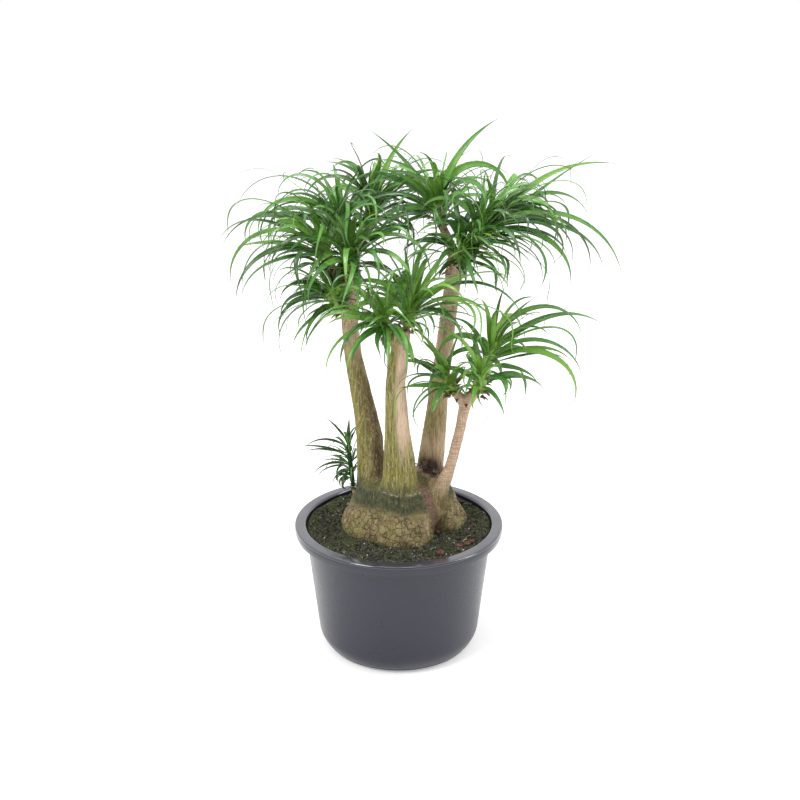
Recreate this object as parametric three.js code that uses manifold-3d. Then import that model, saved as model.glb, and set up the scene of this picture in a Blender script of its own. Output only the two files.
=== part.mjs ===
// A potted ponytail palm: four stems rise from one swollen, cracked base in a round plastic pot.
// Millimetres, +Z up. The origin is on the floor under the middle of the pot; the front is -Y.
import * as THREE from "three";
import { mergeVertices } from "three/addons/utils/BufferGeometryUtils.js";
import Module from "manifold-3d";

const wasm = await Module();
wasm.setup();

// Pot
const POT_HEIGHT = 256;
const RIM_RADIUS = 205;
const WALL_TOP_RADIUS = 184.6;
const WALL_FOOT_RADIUS = 159;
const WALL = 3;
const FLOOR_TOP = 6;
const FOOT_RADIUS = 133;
const PAD_RADIUS = 24; // a flat pad under the middle of the floor, level with the foot
const POT_SIDES = 48;
const DRAIN_HOLES = 4;
const DRAIN_RADIUS = 8;
const DRAIN_CIRCLE = 96;
// Soil
const SOIL_TOP = 240;
const SOIL_EDGE = 249; // it is banked up against the wall
const GAP = 0.3;
// Swollen base: outline radii every 9 degrees about its middle, as a fraction of height
const BASE_X = 10;
const BASE_Y = 15;
const BASE_OUTLINE = [
  121, 131, 133, 131, 128, 124, 120, 116, 114, 112, 112, 113, 115, 119, 123, 126, 128, 129, 129,
  128, 126, 125, 123.5, 121, 113, 107, 102, 107, 107, 106, 109, 110.5, 109.5, 102, 92, 82, 73, 67,
  107, 117,
];
const BASE_BOTTOM = 205;
const BASE_PROFILE = [
  [BASE_BOTTOM, 0.88],
  [236, 1],
  [248, 0.985],
  [261, 0.925],
  [278, 0.855],
  [296, 0.79],
  [318, 0.72],
  [336, 0.65],
];
const PLATE_ROWS = [1, 5]; // rows of the profile between which the bark is cracked into plates
const CRACK = 2.6;
// Leaves
const LEAF_STEPS = 20;
const RINGS = [6, 11, 16]; // steps at which a long blade has a section between its root and tip
const SHORT_RINGS = [7, 14];
const SHORT = 155;
const GOLDEN = 2.399963;
const ATTEMPTS = 14;
const CLEAR = 0.7;
const SLIVER = 0.02; // edges shorter than this are closed up where blades are joined

// Stems: points of each axis with the stem's radius there
const STEMS = {
  left: [
    [-50, 26, 292, 36],
    [-54, 29, 322, 31],
    [-55, 33, 350, 28.5],
    [-57, 40, 415, 26.5],
    [-66, 45, 469, 23],
    [-76, 50, 521, 20.5],
    [-87, 50, 575, 18],
    [-93, 50, 640, 16.5],
    [-94, 50, 712, 14],
  ],
  middle: [
    [1, -24, 316, 32],
    [2, -28, 338, 38.5],
    [2, -31, 356, 35.5],
    [1, -36, 394, 31],
    [-2, -41, 449, 25.5],
    [-4, -45, 502, 22],
    [-6, -49, 553, 19.5],
    [0, -50, 605, 18],
    [8, -50, 648, 15],
  ],
  right: [
    [58, 54, 296, 38],
    [63, 59, 330, 30],
    [63, 60, 352, 27],
    [69, 60, 407, 24.5],
    [75, 60, 464, 21.5],
    [80, 60, 518, 19],
    [88, 60, 590, 17.5],
    [96, 60, 668, 16.5],
    [102, 60, 722, 16.5],
    [107, 60, 742, 20],
    [110, 58, 756, 14],
  ],
  front: [
    [68, -8, 284, 25],
    [74, -14, 306, 21],
    [85, -19, 340, 16],
    [96, -20, 368, 12.4],
    [104, -20, 396, 11.5],
    [116, -20, 450, 11.3],
    [124, -20, 496, 12],
    [128, -21, 516, 11],
  ],
};

// Heads of leaves: where the branch starts in its stem, where the head sits and how it grows.
// Each marked leaf has its own heading and rise in degrees, its length, and its bend and, in some,
// its roll about its own line in radians; the other leaves follow the rule in leafLine.
const HEADS = [
  { name: "left_outer", from: [-94, 50, 696], via: [-110, 28, 735], seat: [-126, -6, 770],
    lean: [-0.4, -0.2, 0.86], leaves: 21, length: 185,
    marked: [[180, 62, 230, 2.4, -0.6], [185, 26, 160, 0.8, -0.9], [186, 55, 235, 2.6],
      [196, 10, 185, 1.1, -0.5], [204, 30, 220, 2.1, -0.8], [160, 70, 170, 1.9, -0.6],
      [220, 66, 160, 2.2, -0.8], [150, 38, 190, 2.2], [-70, 60, 150, 2.3]] },
  { name: "left_upper", from: [-94, 50, 700], via: [-99, 56, 750], seat: [-104, 60, 796],
    lean: [-0.2, 0.1, 0.95], leaves: 20, length: 170,
    marked: [[174, 75, 270, 2.7], [192, 62, 215, 2.6], [160, 40, 200, 1.6, -0.6],
      [10, 74, 150, 2.2, 0.8], [200, 80, 130, 1.6, -0.8], [-60, 72, 140, 2.2, 0.4]] },
  { name: "left_front", from: [-94, 49, 686], via: [-92, 18, 722], seat: [-88, -12, 756],
    lean: [0.15, -0.4, 0.88], leaves: 20, length: 165,
    marked: [[-24, 58, 215, 2.5, 0.6], [-95, 52, 170, 2.5], [-38, 40, 185, 2.1, 0.5],
      [-70, 24, 155, 1.5], [-150, 62, 160, 2.2, -0.6], [10, 72, 150, 1.2, 0.8],
      [-125, 40, 150, 2, -0.4]] },
  { name: "left_lower", from: [-92, 48, 650], via: [-101, 34, 664], seat: [-108, 20, 680],
    lean: [-0.45, -0.35, 0.75], leaves: 14, length: 120,
    marked: [[182, 22, 160, 2.2, -0.6], [184, 10, 205, 2.6], [178, 34, 135, 2.1, -0.9],
      [205, -15, 120, 0.8], [190, 56, 120, 1.9, -0.6]] },
  { name: "top_back", from: [-94, 50, 700], via: [-82, 80, 765], seat: [-54, 100, 820],
    lean: [0.12, 0.02, 0.98], leaves: 22, length: 165,
    marked: [[180, 76, 175, 2.7, -0.6], [12, 80, 165, 0.6, 0.8], [175, 60, 175, 2.8, -0.5],
      [8, 60, 165, 1.2, 1.0], [185, 82, 140, 1.8, -0.9], [0, 48, 165, 1.6, 0.9],
      [215, 70, 150, 2.6, -0.8], [-30, 74, 150, 2.4, 0.6], [-70, 78, 120, 1.2]] },
  { name: "top_middle", from: [108, 60, 738], via: [98, 56, 790], seat: [78, 50, 834],
    lean: [-0.18, -0.1, 0.96], leaves: 22, length: 160,
    marked: [[182, 58, 185, 1.9, -1.1], [172, 66, 190, 0.6, -0.9], [10, 84, 215, 3.3, 0.9],
      [-12, 74, 170, 2.9, 0.5], [0, 87, 190, 0.9, 0.8], [190, 48, 135, 0.6, -1.2],
      [176, 36, 130, 0.9, -1.2], [168, 76, 150, 1.1, -0.6], [188, 14, 140, 1.3, -0.7],
      [-80, 66, 140, 2.7, 0], [-5, 44, 160, 2.2, 0.8], [204, 62, 130, 0.9, -0.9],
      [183, 28, 150, 1.6, -1.0]] },
  { name: "right_inner", from: [109, 58, 740], via: [124, 32, 772], seat: [137, 2, 798],
    lean: [0.35, -0.25, 0.9], leaves: 20, length: 150,
    marked: [[-90, 84, 120, 0.3], [10, 82, 195, 2.6, 0.6], [-6, 44, 240, 2.4, 0.8],
      [-60, 40, 165, 2], [5, 62, 125, 0.6, 0.9], [-8, 50, 130, 0.7, 1.0], [-35, 22, 120, 0.9, 0.5],
      [190, 40, 130, 1.5, -0.8], [170, 74, 150, 2.2, -0.8]] },
  { name: "right_outer", from: [108, 60, 738], via: [136, 68, 776], seat: [164, 77, 804],
    lean: [0.5, 0.07, 0.85], leaves: 22, length: 180,
    marked: [[5, 57, 265, 1.2, 0.7], [0, 40, 250, 0.1, 0.6], [2, 29, 305, 1.9, 0.5],
      [-8, 20, 255, 1.4, 0.8], [-13, 32, 255, 2.1, 0.3], [-16, 50, 180, 2.7, 0.9],
      [9, 54, 235, 1.9, 0.6], [60, 45, 200, 2.1], [-4, 10, 215, 1.7, 0.9], [-30, 66, 190, 2.9, 0.6]] },
  { name: "right_front", from: [108, 58, 738], via: [110, 32, 756], seat: [108, 8, 772],
    lean: [0.25, -0.6, 0.7], leaves: 15, length: 135,
    marked: [[-20, 40, 150, 1.6], [-36, 35, 160, 1.8], [-120, 30, 130, 1.6], [190, 40, 120, 1.4]] },
  { name: "middle_upper", from: [6, -50, 632], via: [11, -50, 650], seat: [15, -50, 664],
    lean: [0.25, -0.12, 0.95], leaves: 23, length: 170,
    marked: [[0, 42, 190, 2.1, 0.8], [1, 52, 290, 2.6, 0.4], [-30, 34, 150, 2.3, 0.6],
      [15, 70, 165, 0.6, 0.9], [100, 70, 150, 0.9], [-4, 60, 150, 1.1, 1.0],
      [182, 66, 150, 1.9, -0.8], [-70, 68, 140, 1.8], [188, 42, 150, 2, -0.9]] },
  { name: "middle_front", from: [0, -50, 618], via: [-10, -69, 644], seat: [-19, -86, 664],
    lean: [-0.25, -0.6, 0.72], leaves: 18, length: 120,
    marked: [[205, 12, 185, 2.2, -0.4], [-85, 22, 145, 1.9], [-125, 14, 145, 1.7, -0.5],
      [184, 26, 105, 0.8, -0.9], [-132, 28, 150, 2.1, -0.3], [-58, 8, 120, 1.3, 0.6],
      [150, 66, 130, 1.5, -0.5]] },
  { name: "front_left", from: [126, -20, 502], via: [114, -26, 520], seat: [102, -31, 532],
    lean: [-0.4, -0.12, 0.88], leaves: 17, length: 110,
    marked: [[172, 40, 130, 0.4, -0.7], [186, 16, 95, 0.1, -0.9], [184, 14, 165, 3.2],
      [205, 2, 110, 1.4], [150, 76, 110, 0.8, -0.8], [185, 60, 115, 1.3, -1]] },
  { name: "front_middle", from: [126, -20, 504], via: [137, -36, 524], seat: [146, -52, 540],
    lean: [0.15, -0.35, 0.9], leaves: 13, length: 100,
    marked: [[178, 80, 150, 1.4, -0.7], [-5, 26, 130, 1.1, 0.9], [-55, 4, 90, 1.4, 0.4],
      [-110, 50, 105, 2]] },
  { name: "front_right", from: [126, -20, 502], via: [141, -16, 526], seat: [154, -12, 545],
    lean: [0.3, 0.08, 0.95], leaves: 24, length: 135, core: 92, coreRadius: 10.5,
    marked: [[5, 75, 245, 2.7, 0.6], [8, 50, 240, 1.3, 0.5], [-2, 46, 225, 2.2, 0.8],
      [-15, 10, 105, 0.8, 0.9], [-5, 32, 235, 2.2, 0.6], [180, 60, 140, 2.7, -0.7],
      [60, 84, 120, 0.5], [190, 42, 120, 2.5, -0.6], [5, 28, 165, 0.9, 0.9],
      [12, 72, 130, 0.7, 1], [-90, 80, 105, 0.7]] },
];

// A number from 0 to 1 that depends only on its seed.
function chance(seed) {
  let t = (seed + 0x6d2b79f5) | 0;
  t = Math.imul(t ^ (t >>> 15), t | 1);
  t ^= t + Math.imul(t ^ (t >>> 7), t | 61);
  return ((t ^ (t >>> 14)) >>> 0) / 4294967296;
}

// A closed body from rings of points that all run the same way round, with a fan at each end.
function ringBody(rings) {
  const sides = rings[0].length;
  const points = rings.flat();
  const index = [];
  for (let r = 0; r + 1 < rings.length; r++)
    for (let s = 0; s < sides; s++) {
      const a = r * sides + s;
      const b = r * sides + ((s + 1) % sides);
      index.push(a, b, b + sides, a, b + sides, a + sides);
    }
  for (const [ring, flip] of [[rings[0], true], [rings[rings.length - 1], false]]) {
    const first = flip ? 0 : (rings.length - 1) * sides;
    const middle = new THREE.Vector3();
    for (const p of ring) middle.addScaledVector(p, 1 / sides);
    points.push(middle);
    for (let s = 0; s < sides; s++) {
      const a = first + s;
      const b = first + ((s + 1) % sides);
      index.push(...(flip ? [b, a, points.length - 1] : [a, b, points.length - 1]));
    }
  }
  return new THREE.BufferGeometry().setFromPoints(points).setIndex(index);
}

// The geometry as a solid that can be joined, cut and compared with others.
function solid(geometry) {
  const bare = geometry.clone();
  bare.deleteAttribute("normal");
  bare.deleteAttribute("uv");
  const merged = mergeVertices(bare, 1e-3);
  const old = merged.index.array;
  const triVerts = [];
  for (let i = 0; i < old.length; i += 3)
    if (old[i] !== old[i + 1] && old[i + 1] !== old[i + 2] && old[i + 2] !== old[i])
      triVerts.push(old[i], old[i + 1], old[i + 2]);
  return new wasm.Manifold(
    new wasm.Mesh({
      numProp: 3,
      vertProperties: new Float32Array(merged.attributes.position.array),
      triVerts: new Uint32Array(triVerts),
    }),
  );
}

function geometryOf(body) {
  const { vertProperties, triVerts } = body.getMesh();
  const geometry = new THREE.BufferGeometry();
  geometry.setAttribute("position", new THREE.BufferAttribute(vertProperties, 3));
  geometry.setIndex(new THREE.BufferAttribute(triVerts, 1));
  geometry.computeVertexNormals();
  return geometry;
}

const plant = new THREE.Group();
function place(name, body, colour, roughness) {
  const material = new THREE.MeshStandardMaterial({ color: colour, roughness, metalness: 0 });
  const mesh = new THREE.Mesh(geometryOf(body), material);
  mesh.name = name;
  plant.add(mesh);
}

// The bodies joined into one, with any pocket that they seal filled and no sliver along a seam.
function joined(bodies) {
  const parts = wasm.Manifold.union(bodies).decompose();
  return parts.sort((a, b) => b.volume() - a.volume())[0].simplify(SLIVER);
}

const vector = (p) => new THREE.Vector3(p[0], p[1], p[2]);

// A round profile turned about the Z axis.
function turned(profile) {
  const points = profile.map(([r, z]) => new THREE.Vector2(r, z));
  return new THREE.LatheGeometry(points, POT_SIDES).rotateX(Math.PI / 2);
}

// A tapered round stem through points that carry their radius, with low ribs along its bark.
function stem(stations, sides, ribs) {
  const path = stations.map(vector);
  const rings = path.map((p, i) => {
    const along = path[Math.min(i + 1, path.length - 1)]
      .clone()
      .sub(path[Math.max(i - 1, 0)])
      .normalize();
    const across = new THREE.Vector3(0, 1, 0).cross(along).normalize();
    const other = along.clone().cross(across);
    return Array.from({ length: sides }, (_, s) => {
      const angle = (s / sides) * 2 * Math.PI;
      const radius = stations[i][3] * (1 + ribs * (chance(s * 37 + i * 11 + sides) - 0.5));
      return p
        .clone()
        .addScaledVector(across, radius * Math.cos(angle))
        .addScaledVector(other, radius * Math.sin(angle));
    });
  });
  return solid(ringBody(rings));
}

// Pot

const innerWall = [
  [WALL_TOP_RADIUS - WALL, POT_HEIGHT - 4],
  [WALL_FOOT_RADIUS - WALL, 30],
  [WALL_FOOT_RADIUS - 13, FLOOR_TOP],
];
const wallInside = (z) =>
  innerWall[1][0] +
  ((innerWall[0][0] - innerWall[1][0]) * (z - innerWall[1][1])) / (innerWall[0][1] - innerWall[1][1]);
let pot = solid(
  turned([
    [0, 0],
    [PAD_RADIUS, 0],
    [PAD_RADIUS, 3],
    [FOOT_RADIUS - 5, 3],
    [FOOT_RADIUS - 5, 0],
    [FOOT_RADIUS, 0],
    [FOOT_RADIUS, 3],
    [149, 8.5],
    [WALL_FOOT_RADIUS, 27],
    [WALL_TOP_RADIUS, POT_HEIGHT - 5],
    [RIM_RADIUS - 3.5, POT_HEIGHT - 5],
    [RIM_RADIUS - 2, POT_HEIGHT - 18],
    [RIM_RADIUS, POT_HEIGHT - 4],
    [RIM_RADIUS - 2.5, POT_HEIGHT],
    [WALL_TOP_RADIUS - 0.6, POT_HEIGHT],
    ...innerWall,
    [0, FLOOR_TOP],
  ]),
);
for (let i = 0; i < DRAIN_HOLES; i++) {
  const angle = ((i + 0.5) / DRAIN_HOLES) * 2 * Math.PI;
  const hole = new THREE.CylinderGeometry(DRAIN_RADIUS, DRAIN_RADIUS, 12, 8)
    .rotateX(Math.PI / 2)
    .translate(DRAIN_CIRCLE * Math.cos(angle), DRAIN_CIRCLE * Math.sin(angle), 4);
  pot = pot.subtract(solid(hole));
}
place("pot", pot, 0x4e5059, 0.42);

// Swollen base

const COLUMNS = BASE_OUTLINE.length;
function outlinePoint(column, z) {
  const c = ((column % COLUMNS) + COLUMNS) % COLUMNS;
  // The fold between the two lobes closes just above the soil.
  const closing = THREE.MathUtils.smoothstep(z, 244, 292);
  const radius = THREE.MathUtils.lerp(BASE_OUTLINE[c], Math.max(BASE_OUTLINE[c], 107), closing);
  let row = 0;
  while (row + 2 < BASE_PROFILE.length && z > BASE_PROFILE[row + 1][0]) row++;
  const [z0, f0] = BASE_PROFILE[row];
  const [z1, f1] = BASE_PROFILE[row + 1];
  const share = f0 + ((f1 - f0) * (z - z0)) / (z1 - z0);
  const angle = (c / COLUMNS) * 2 * Math.PI;
  return new THREE.Vector2(Math.cos(angle), Math.sin(angle)).multiplyScalar(share * radius);
}
function basePoint(column, z, outward = 0) {
  const low = Math.floor(column);
  const blend = column - low;
  const [before, a, b, after] = [-1, 0, 1, 2].map((k) => outlinePoint(low + k, z));
  const edge = b.clone().sub(a).normalize();
  const way = edge
    .clone()
    .add(a.clone().sub(before).normalize().lerp(after.sub(b).normalize(), blend))
    .normalize();
  const p = a.lerp(b, blend);
  return new THREE.Vector3(
    BASE_X + p.x + way.y * outward, BASE_Y + p.y - way.x * outward, z);
}

// Bark plates: every cell's corners lie in the cracks and its face stands out from them.
const [plateFirst, plateLast] = PLATE_ROWS;
function crackPoint(column, row) {
  const c = ((column % COLUMNS) + COLUMNS) % COLUMNS;
  const draw = (k) => chance(c * 71 + row * 1013 + k) - 0.5;
  const edge = row === plateFirst;
  const fold = c > 34 && c < 39; // the fold's walls keep their corners
  const shift = edge || fold ? 0 : 0.85 * draw(1);
  const lift = edge ? 0 : 8 * draw(2);
  return basePoint(c + shift, BASE_PROFILE[row][0] + lift, -CRACK);
}
function baseGeometry() {
  const points = [];
  const index = [];
  const rows = BASE_PROFILE.map(([z], row) =>
    Array.from({ length: COLUMNS }, (_, c) => {
      const between = row >= plateFirst && row < plateLast;
      points.push(between ? crackPoint(c, row) : basePoint(c, z));
      return points.length - 1;
    }),
  );
  for (let row = 0; row + 1 < rows.length; row++)
    for (let c = 0; c < COLUMNS; c++) {
      const d = (c + 1) % COLUMNS;
      const corners = [rows[row][c], rows[row][d], rows[row + 1][d], rows[row + 1][c]];
      if (row < plateFirst || row >= plateLast) {
        index.push(corners[0], corners[1], corners[2], corners[0], corners[2], corners[3]);
        continue;
      }
      const middle = new THREE.Vector3();
      for (const k of corners) middle.addScaledVector(points[k], 0.25);
      const rising = points[corners[2]].clone().sub(points[corners[0]]);
      const out = rising.cross(points[corners[3]].clone().sub(points[corners[1]])).normalize();
      const face = corners.map((k) => {
        points.push(points[k].clone().lerp(middle, 0.24).addScaledVector(out, CRACK));
        return points.length - 1;
      });
      for (let k = 0; k < 4; k++) {
        const n = (k + 1) % 4;
        index.push(corners[k], corners[n], face[n], corners[k], face[n], face[k]);
      }
      index.push(face[0], face[1], face[2], face[0], face[2], face[3]);
    }
  for (const [row, flip] of [[rows[0], true], [rows[rows.length - 1], false]]) {
    points.push(new THREE.Vector3(BASE_X, BASE_Y, flip ? BASE_BOTTOM : 350));
    for (let c = 0; c < COLUMNS; c++) {
      const d = (c + 1) % COLUMNS;
      index.push(...(flip ? [row[d], row[c]] : [row[c], row[d]]), points.length - 1);
    }
  }
  return new THREE.BufferGeometry().setFromPoints(points).setIndex(index);
}

// Soil, with a plain hole for the base

function soilHeight(x, y) {
  const out = Math.hypot(x, y);
  const waves = 1.6 * Math.sin(x / 23 + 1) * Math.cos(y / 31) + 1.1 * Math.sin((x + y) / 17 + 2);
  const bank = (SOIL_EDGE - SOIL_TOP) * THREE.MathUtils.smoothstep(out, 148, 176);
  return SOIL_TOP + bank + waves * THREE.MathUtils.smoothstep(out, 120, 150);
}
const soilGeometry = turned([
  [0, FLOOR_TOP + GAP],
  [innerWall[2][0] - 0.2, FLOOR_TOP + GAP],
  [innerWall[1][0] - GAP, 30],
  [wallInside(SOIL_TOP - 5) - GAP, SOIL_TOP - 5],
  [wallInside(SOIL_TOP - 5) - 1, SOIL_EDGE],
  [165, SOIL_TOP],
  [150, SOIL_TOP],
  [0, SOIL_TOP],
]);
const ground = soilGeometry.attributes.position;
for (let i = 0; i < ground.count; i++)
  if (ground.getZ(i) > SOIL_TOP - 1)
    ground.setZ(i, soilHeight(ground.getX(i), ground.getY(i)));
const holeRings = [
  [BASE_BOTTOM - GAP, 0.7, BASE_BOTTOM],
  [236, 0.9, 236],
  [252, 0.9, 236],
].map(([z, out, at]) =>
  Array.from({ length: COLUMNS }, (_, c) =>
    basePoint(c, at, c > 34 && c < 39 ? 2 * out : out).setZ(z),
  ),
);
place("soil", solid(soilGeometry).subtract(solid(ringBody(holeRings))), 0x2b2a20, 0.95);

// Stems and branches, grown in one piece with the base

const woodParts = [
  solid(baseGeometry()),
  stem(STEMS.left, 11, 0.07),
  stem(STEMS.middle, 11, 0.06),
  stem(STEMS.right, 11, 0.06),
  stem(STEMS.front, 9, 0.03),
];
for (const head of HEADS) {
  head.seat = vector(head.seat);
  head.axis = vector(head.lean).normalize();
  const end = head.seat.clone().addScaledVector(head.axis, -GAP);
  woodParts.push(
    branch([[...head.from, 12], [...head.via, 11.5], [...end.toArray(), 9.5]], head.axis),
  );
}
function branch(stations, lastAxis) {
  const path = stations.map(vector);
  const sides = 6;
  const rings = path.map((p, i) => {
    const along =
      i === path.length - 1
        ? lastAxis.clone()
        : path[i + 1].clone().sub(path[Math.max(i - 1, 0)]).normalize();
    const across = new THREE.Vector3(0.3, 1, 0.1).cross(along).normalize();
    const other = along.clone().cross(across);
    return Array.from({ length: sides }, (_, s) => {
      const angle = (s / sides) * 2 * Math.PI;
      return p
        .clone()
        .addScaledVector(across, stations[i][3] * Math.cos(angle))
        .addScaledVector(other, stations[i][3] * Math.sin(angle));
    });
  });
  return solid(ringBody(rings));
}

// The stub under the young shoot beside the left stem
const PUP = {
  name: "young_shoot",
  seat: new THREE.Vector3(-92, 66, 300),
  axis: new THREE.Vector3(-0.1, 0.04, 0.99).normalize(),
};
woodParts.push(
  branch([[-78, 52, 274, 9], [-88, 62, 286, 7], [-91.2, 65.7, 294, 6],
    [...PUP.seat.clone().addScaledVector(PUP.axis, -GAP).toArray(), 5.5]], PUP.axis),
);
place("stems", joined(woodParts), 0x8f8557, 0.8);

// Leaves

// The middle line of a leaf: it leaves the head's axis, arches over by its own weight and drifts.
function leafLine(head, number, leaf, attempt) {
  const draw = (k) => chance(number * 100003 + leaf * 1009 + attempt * 31 + k) - 0.5;
  const across = new THREE.Vector3(0, 1, 0).cross(head.axis).normalize();
  const other = head.axis.clone().cross(across);
  const marked = head.marked[leaf];
  let rise, heading, length, bend, height, start;
  let roll = 1.5 * draw(8);
  if (marked) {
    heading = THREE.MathUtils.degToRad(marked[0]) + 0.05 * attempt * draw(0);
    rise = THREE.MathUtils.degToRad(marked[1]) + 0.04 * attempt * draw(1);
    length = marked[2];
    bend = marked[3] + 0.04 * attempt * draw(3);
    roll = marked[4] ?? roll;
    height = 0.3 + (0.5 * marked[1]) / 90;
    start = new THREE.Vector3(Math.cos(heading), Math.sin(heading), 0);
  } else {
    // Age runs from 0, the youngest leaves at the top, to 1, the oldest at the foot of the head.
    const age = (leaf - head.marked.length + 0.5) / (head.leaves - head.marked.length);
    const turn = leaf * GOLDEN + number + draw(0) * (0.5 + 0.09 * attempt);
    const open = 0.14 + 1.05 * age + draw(1) * (0.3 + 0.04 * attempt);
    start = head.axis
      .clone()
      .multiplyScalar(Math.cos(open))
      .addScaledVector(across, Math.sin(open) * Math.cos(turn))
      .addScaledVector(other, Math.sin(open) * Math.sin(turn));
    length = head.length * (0.42 + 0.62 * Math.sin(2.8 * Math.min(1, 0.12 + age))) * (1 + 0.5 * draw(2));
    rise = Math.asin(THREE.MathUtils.clamp(start.z, -0.98, 0.98));
    heading = Math.atan2(start.y, start.x);
    // Young leaves stand; older ones arch over until their tips point 25 to 100 degrees down.
    bend = (rise + 1.1 + 1.3 * draw(3)) * (0.5 + 0.5 * Math.min(1, age * 2.6));
    height = 0.9 - 0.78 * age;
  }
  const swirl = draw(4) * (marked ? 0.5 : 1.9);
  const twist = draw(5) * 1.4;
  const wide = head.width * (0.9 + 0.4 * draw(6));
  const off = start.clone().addScaledVector(head.axis, -start.dot(head.axis)).normalize();
  const at = head.seat
    .clone()
    .addScaledVector(head.axis, head.core * height)
    .addScaledVector(off, 0.42 * head.coreRadius);
  const line = [];
  for (let step = 0; step <= LEAF_STEPS; step++) {
    const t = step / LEAF_STEPS;
    const tilt = rise - bend * Math.pow(t, marked ? 1.1 : 1.35);
    const way = heading + swirl * t * t;
    const along = new THREE.Vector3(
      Math.cos(tilt) * Math.cos(way), Math.cos(tilt) * Math.sin(way), Math.sin(tilt));
    const side = new THREE.Vector3(-Math.sin(way), Math.cos(way), 0).applyAxisAngle(
      along, roll * Math.min(1, 3 * t) + twist * t);
    line.push({ at: at.clone(), along, side, t, wide, length });
    at.addScaledVector(along, length / LEAF_STEPS);
  }
  return line;
}

// A blade: flat above, keeled below, narrow where it leaves the head and drawn out to a point.
function blade(line, grow = 0, first = 0) {
  const steps = line[0].length < SHORT ? SHORT_RINGS : RINGS;
  const rings = [first, ...steps].map((step) => {
    const { at, along, side, t, wide } = line[step];
    const half = 0.5 * wide * Math.min(1, 0.34 + 2.4 * t) * (1 - Math.pow(t, 2.2)) + grow;
    const up = along.clone().cross(side);
    const depth = 0.16 * wide * (1 - 0.6 * t) + 0.5 + 2 * grow;
    return [
      at.clone().addScaledVector(side, half).addScaledVector(up, 0.35 * depth),
      at.clone().addScaledVector(side, -half).addScaledVector(up, 0.35 * depth),
      at.clone().addScaledVector(up, -0.65 * depth),
    ];
  });
  const tip = line[LEAF_STEPS].at.clone();
  const points = [...rings.flat(), tip];
  const index = [0, 2, 1];
  for (let r = 0; r < rings.length; r++)
    for (let s = 0; s < 3; s++) {
      const a = 3 * r + s;
      const b = 3 * r + ((s + 1) % 3);
      if (r + 1 < rings.length) index.push(a, b, b + 3, a, b + 3, a + 3);
      else index.push(a, b, points.length - 1);
    }
  return solid(new THREE.BufferGeometry().setFromPoints(points).setIndex(index));
}

function overlapsBox(a, b) {
  for (let k = 0; k < 3; k++) if (a.min[k] > b.max[k] || a.max[k] < b.min[k]) return false;
  return true;
}
function meets(body, others) {
  const box = body.boundingBox();
  return others.some((other) => {
    if (!overlapsBox(box, other.box)) return false;
    const common = body.intersect(other.body);
    const empty = common.isEmpty();
    common.delete();
    return !empty;
  });
}
const boxed = (body) => ({ body, box: body.boundingBox() });

const still = [boxed(solid(turned([[0, 0], [RIM_RADIUS, 0], [RIM_RADIUS, POT_HEIGHT], [0, POT_HEIGHT]])))];
for (const part of woodParts) still.push(boxed(part));

// The short stem inside each head, which its leaves stand out of
function core(head, radius, length) {
  const across = new THREE.Vector3(0, 1, 0).cross(head.axis).normalize();
  const other = head.axis.clone().cross(across);
  const shape = [[0, 0.75], [0.15, 1], [0.65, 0.95], [1, 0.45]];
  return solid(
    ringBody(
      shape.map(([s, share]) =>
        Array.from({ length: 7 }, (_, k) => {
          const angle = (k / 7) * 2 * Math.PI;
          return head.seat
            .clone()
            .addScaledVector(head.axis, s * length)
            .addScaledVector(across, share * radius * Math.cos(angle))
            .addScaledVector(other, share * radius * Math.sin(angle));
        }),
      ),
    ),
  );
}

const crowns = [
  ...HEADS.map((head) => ({ core: 46, coreRadius: 12.5, width: 16, ...head })),
  { ...PUP, leaves: 16, length: 70, core: 100, coreRadius: 5, width: 7, marked: [
    [180, 30, 75, 1.2], [190, 20, 80, 1.4], [170, 55, 70, 1.4], [200, 45, 70, 1.6]] },
];
for (const head of crowns) {
  head.heart = boxed(core(head, head.coreRadius, head.core));
  head.blades = [];
}
function growLeaf(head, number, leaf) {
  if (leaf >= head.leaves) return;
  const others = crowns
    .filter((crown) => crown !== head)
    .flatMap((crown) => [crown.heart, ...crown.blades]);
  for (let attempt = 0; attempt < ATTEMPTS; attempt++) {
    const line = leafLine(head, number, leaf, attempt);
    const outer = blade(line, 0.4, 1);
    if (
      !meets(blade(line, CLEAR), others) &&
      !meets(blade(line, GAP), still) &&
      (attempt > 9 || !meets(outer, head.blades.map((b) => b.outer)))
    ) {
      head.blades.push({ ...boxed(blade(line)), outer: boxed(blade(line, 0, 1)) });
      return;
    }
  }
}
for (let leaf = 0; leaf < 40; leaf++)
  crowns.forEach((head, number) => {
    if (leaf < head.marked.length) growLeaf(head, number, leaf);
  });
for (let leaf = 0; leaf < 40; leaf++)
  crowns.forEach((head, number) => {
    if (leaf >= head.marked.length) growLeaf(head, number, leaf);
  });
for (const head of crowns)
  place(head.name, joined([head.heart.body, ...head.blades.map((b) => b.body)]), 0x3f7a2c, 0.45);

// Lava stones on the soil

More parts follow.
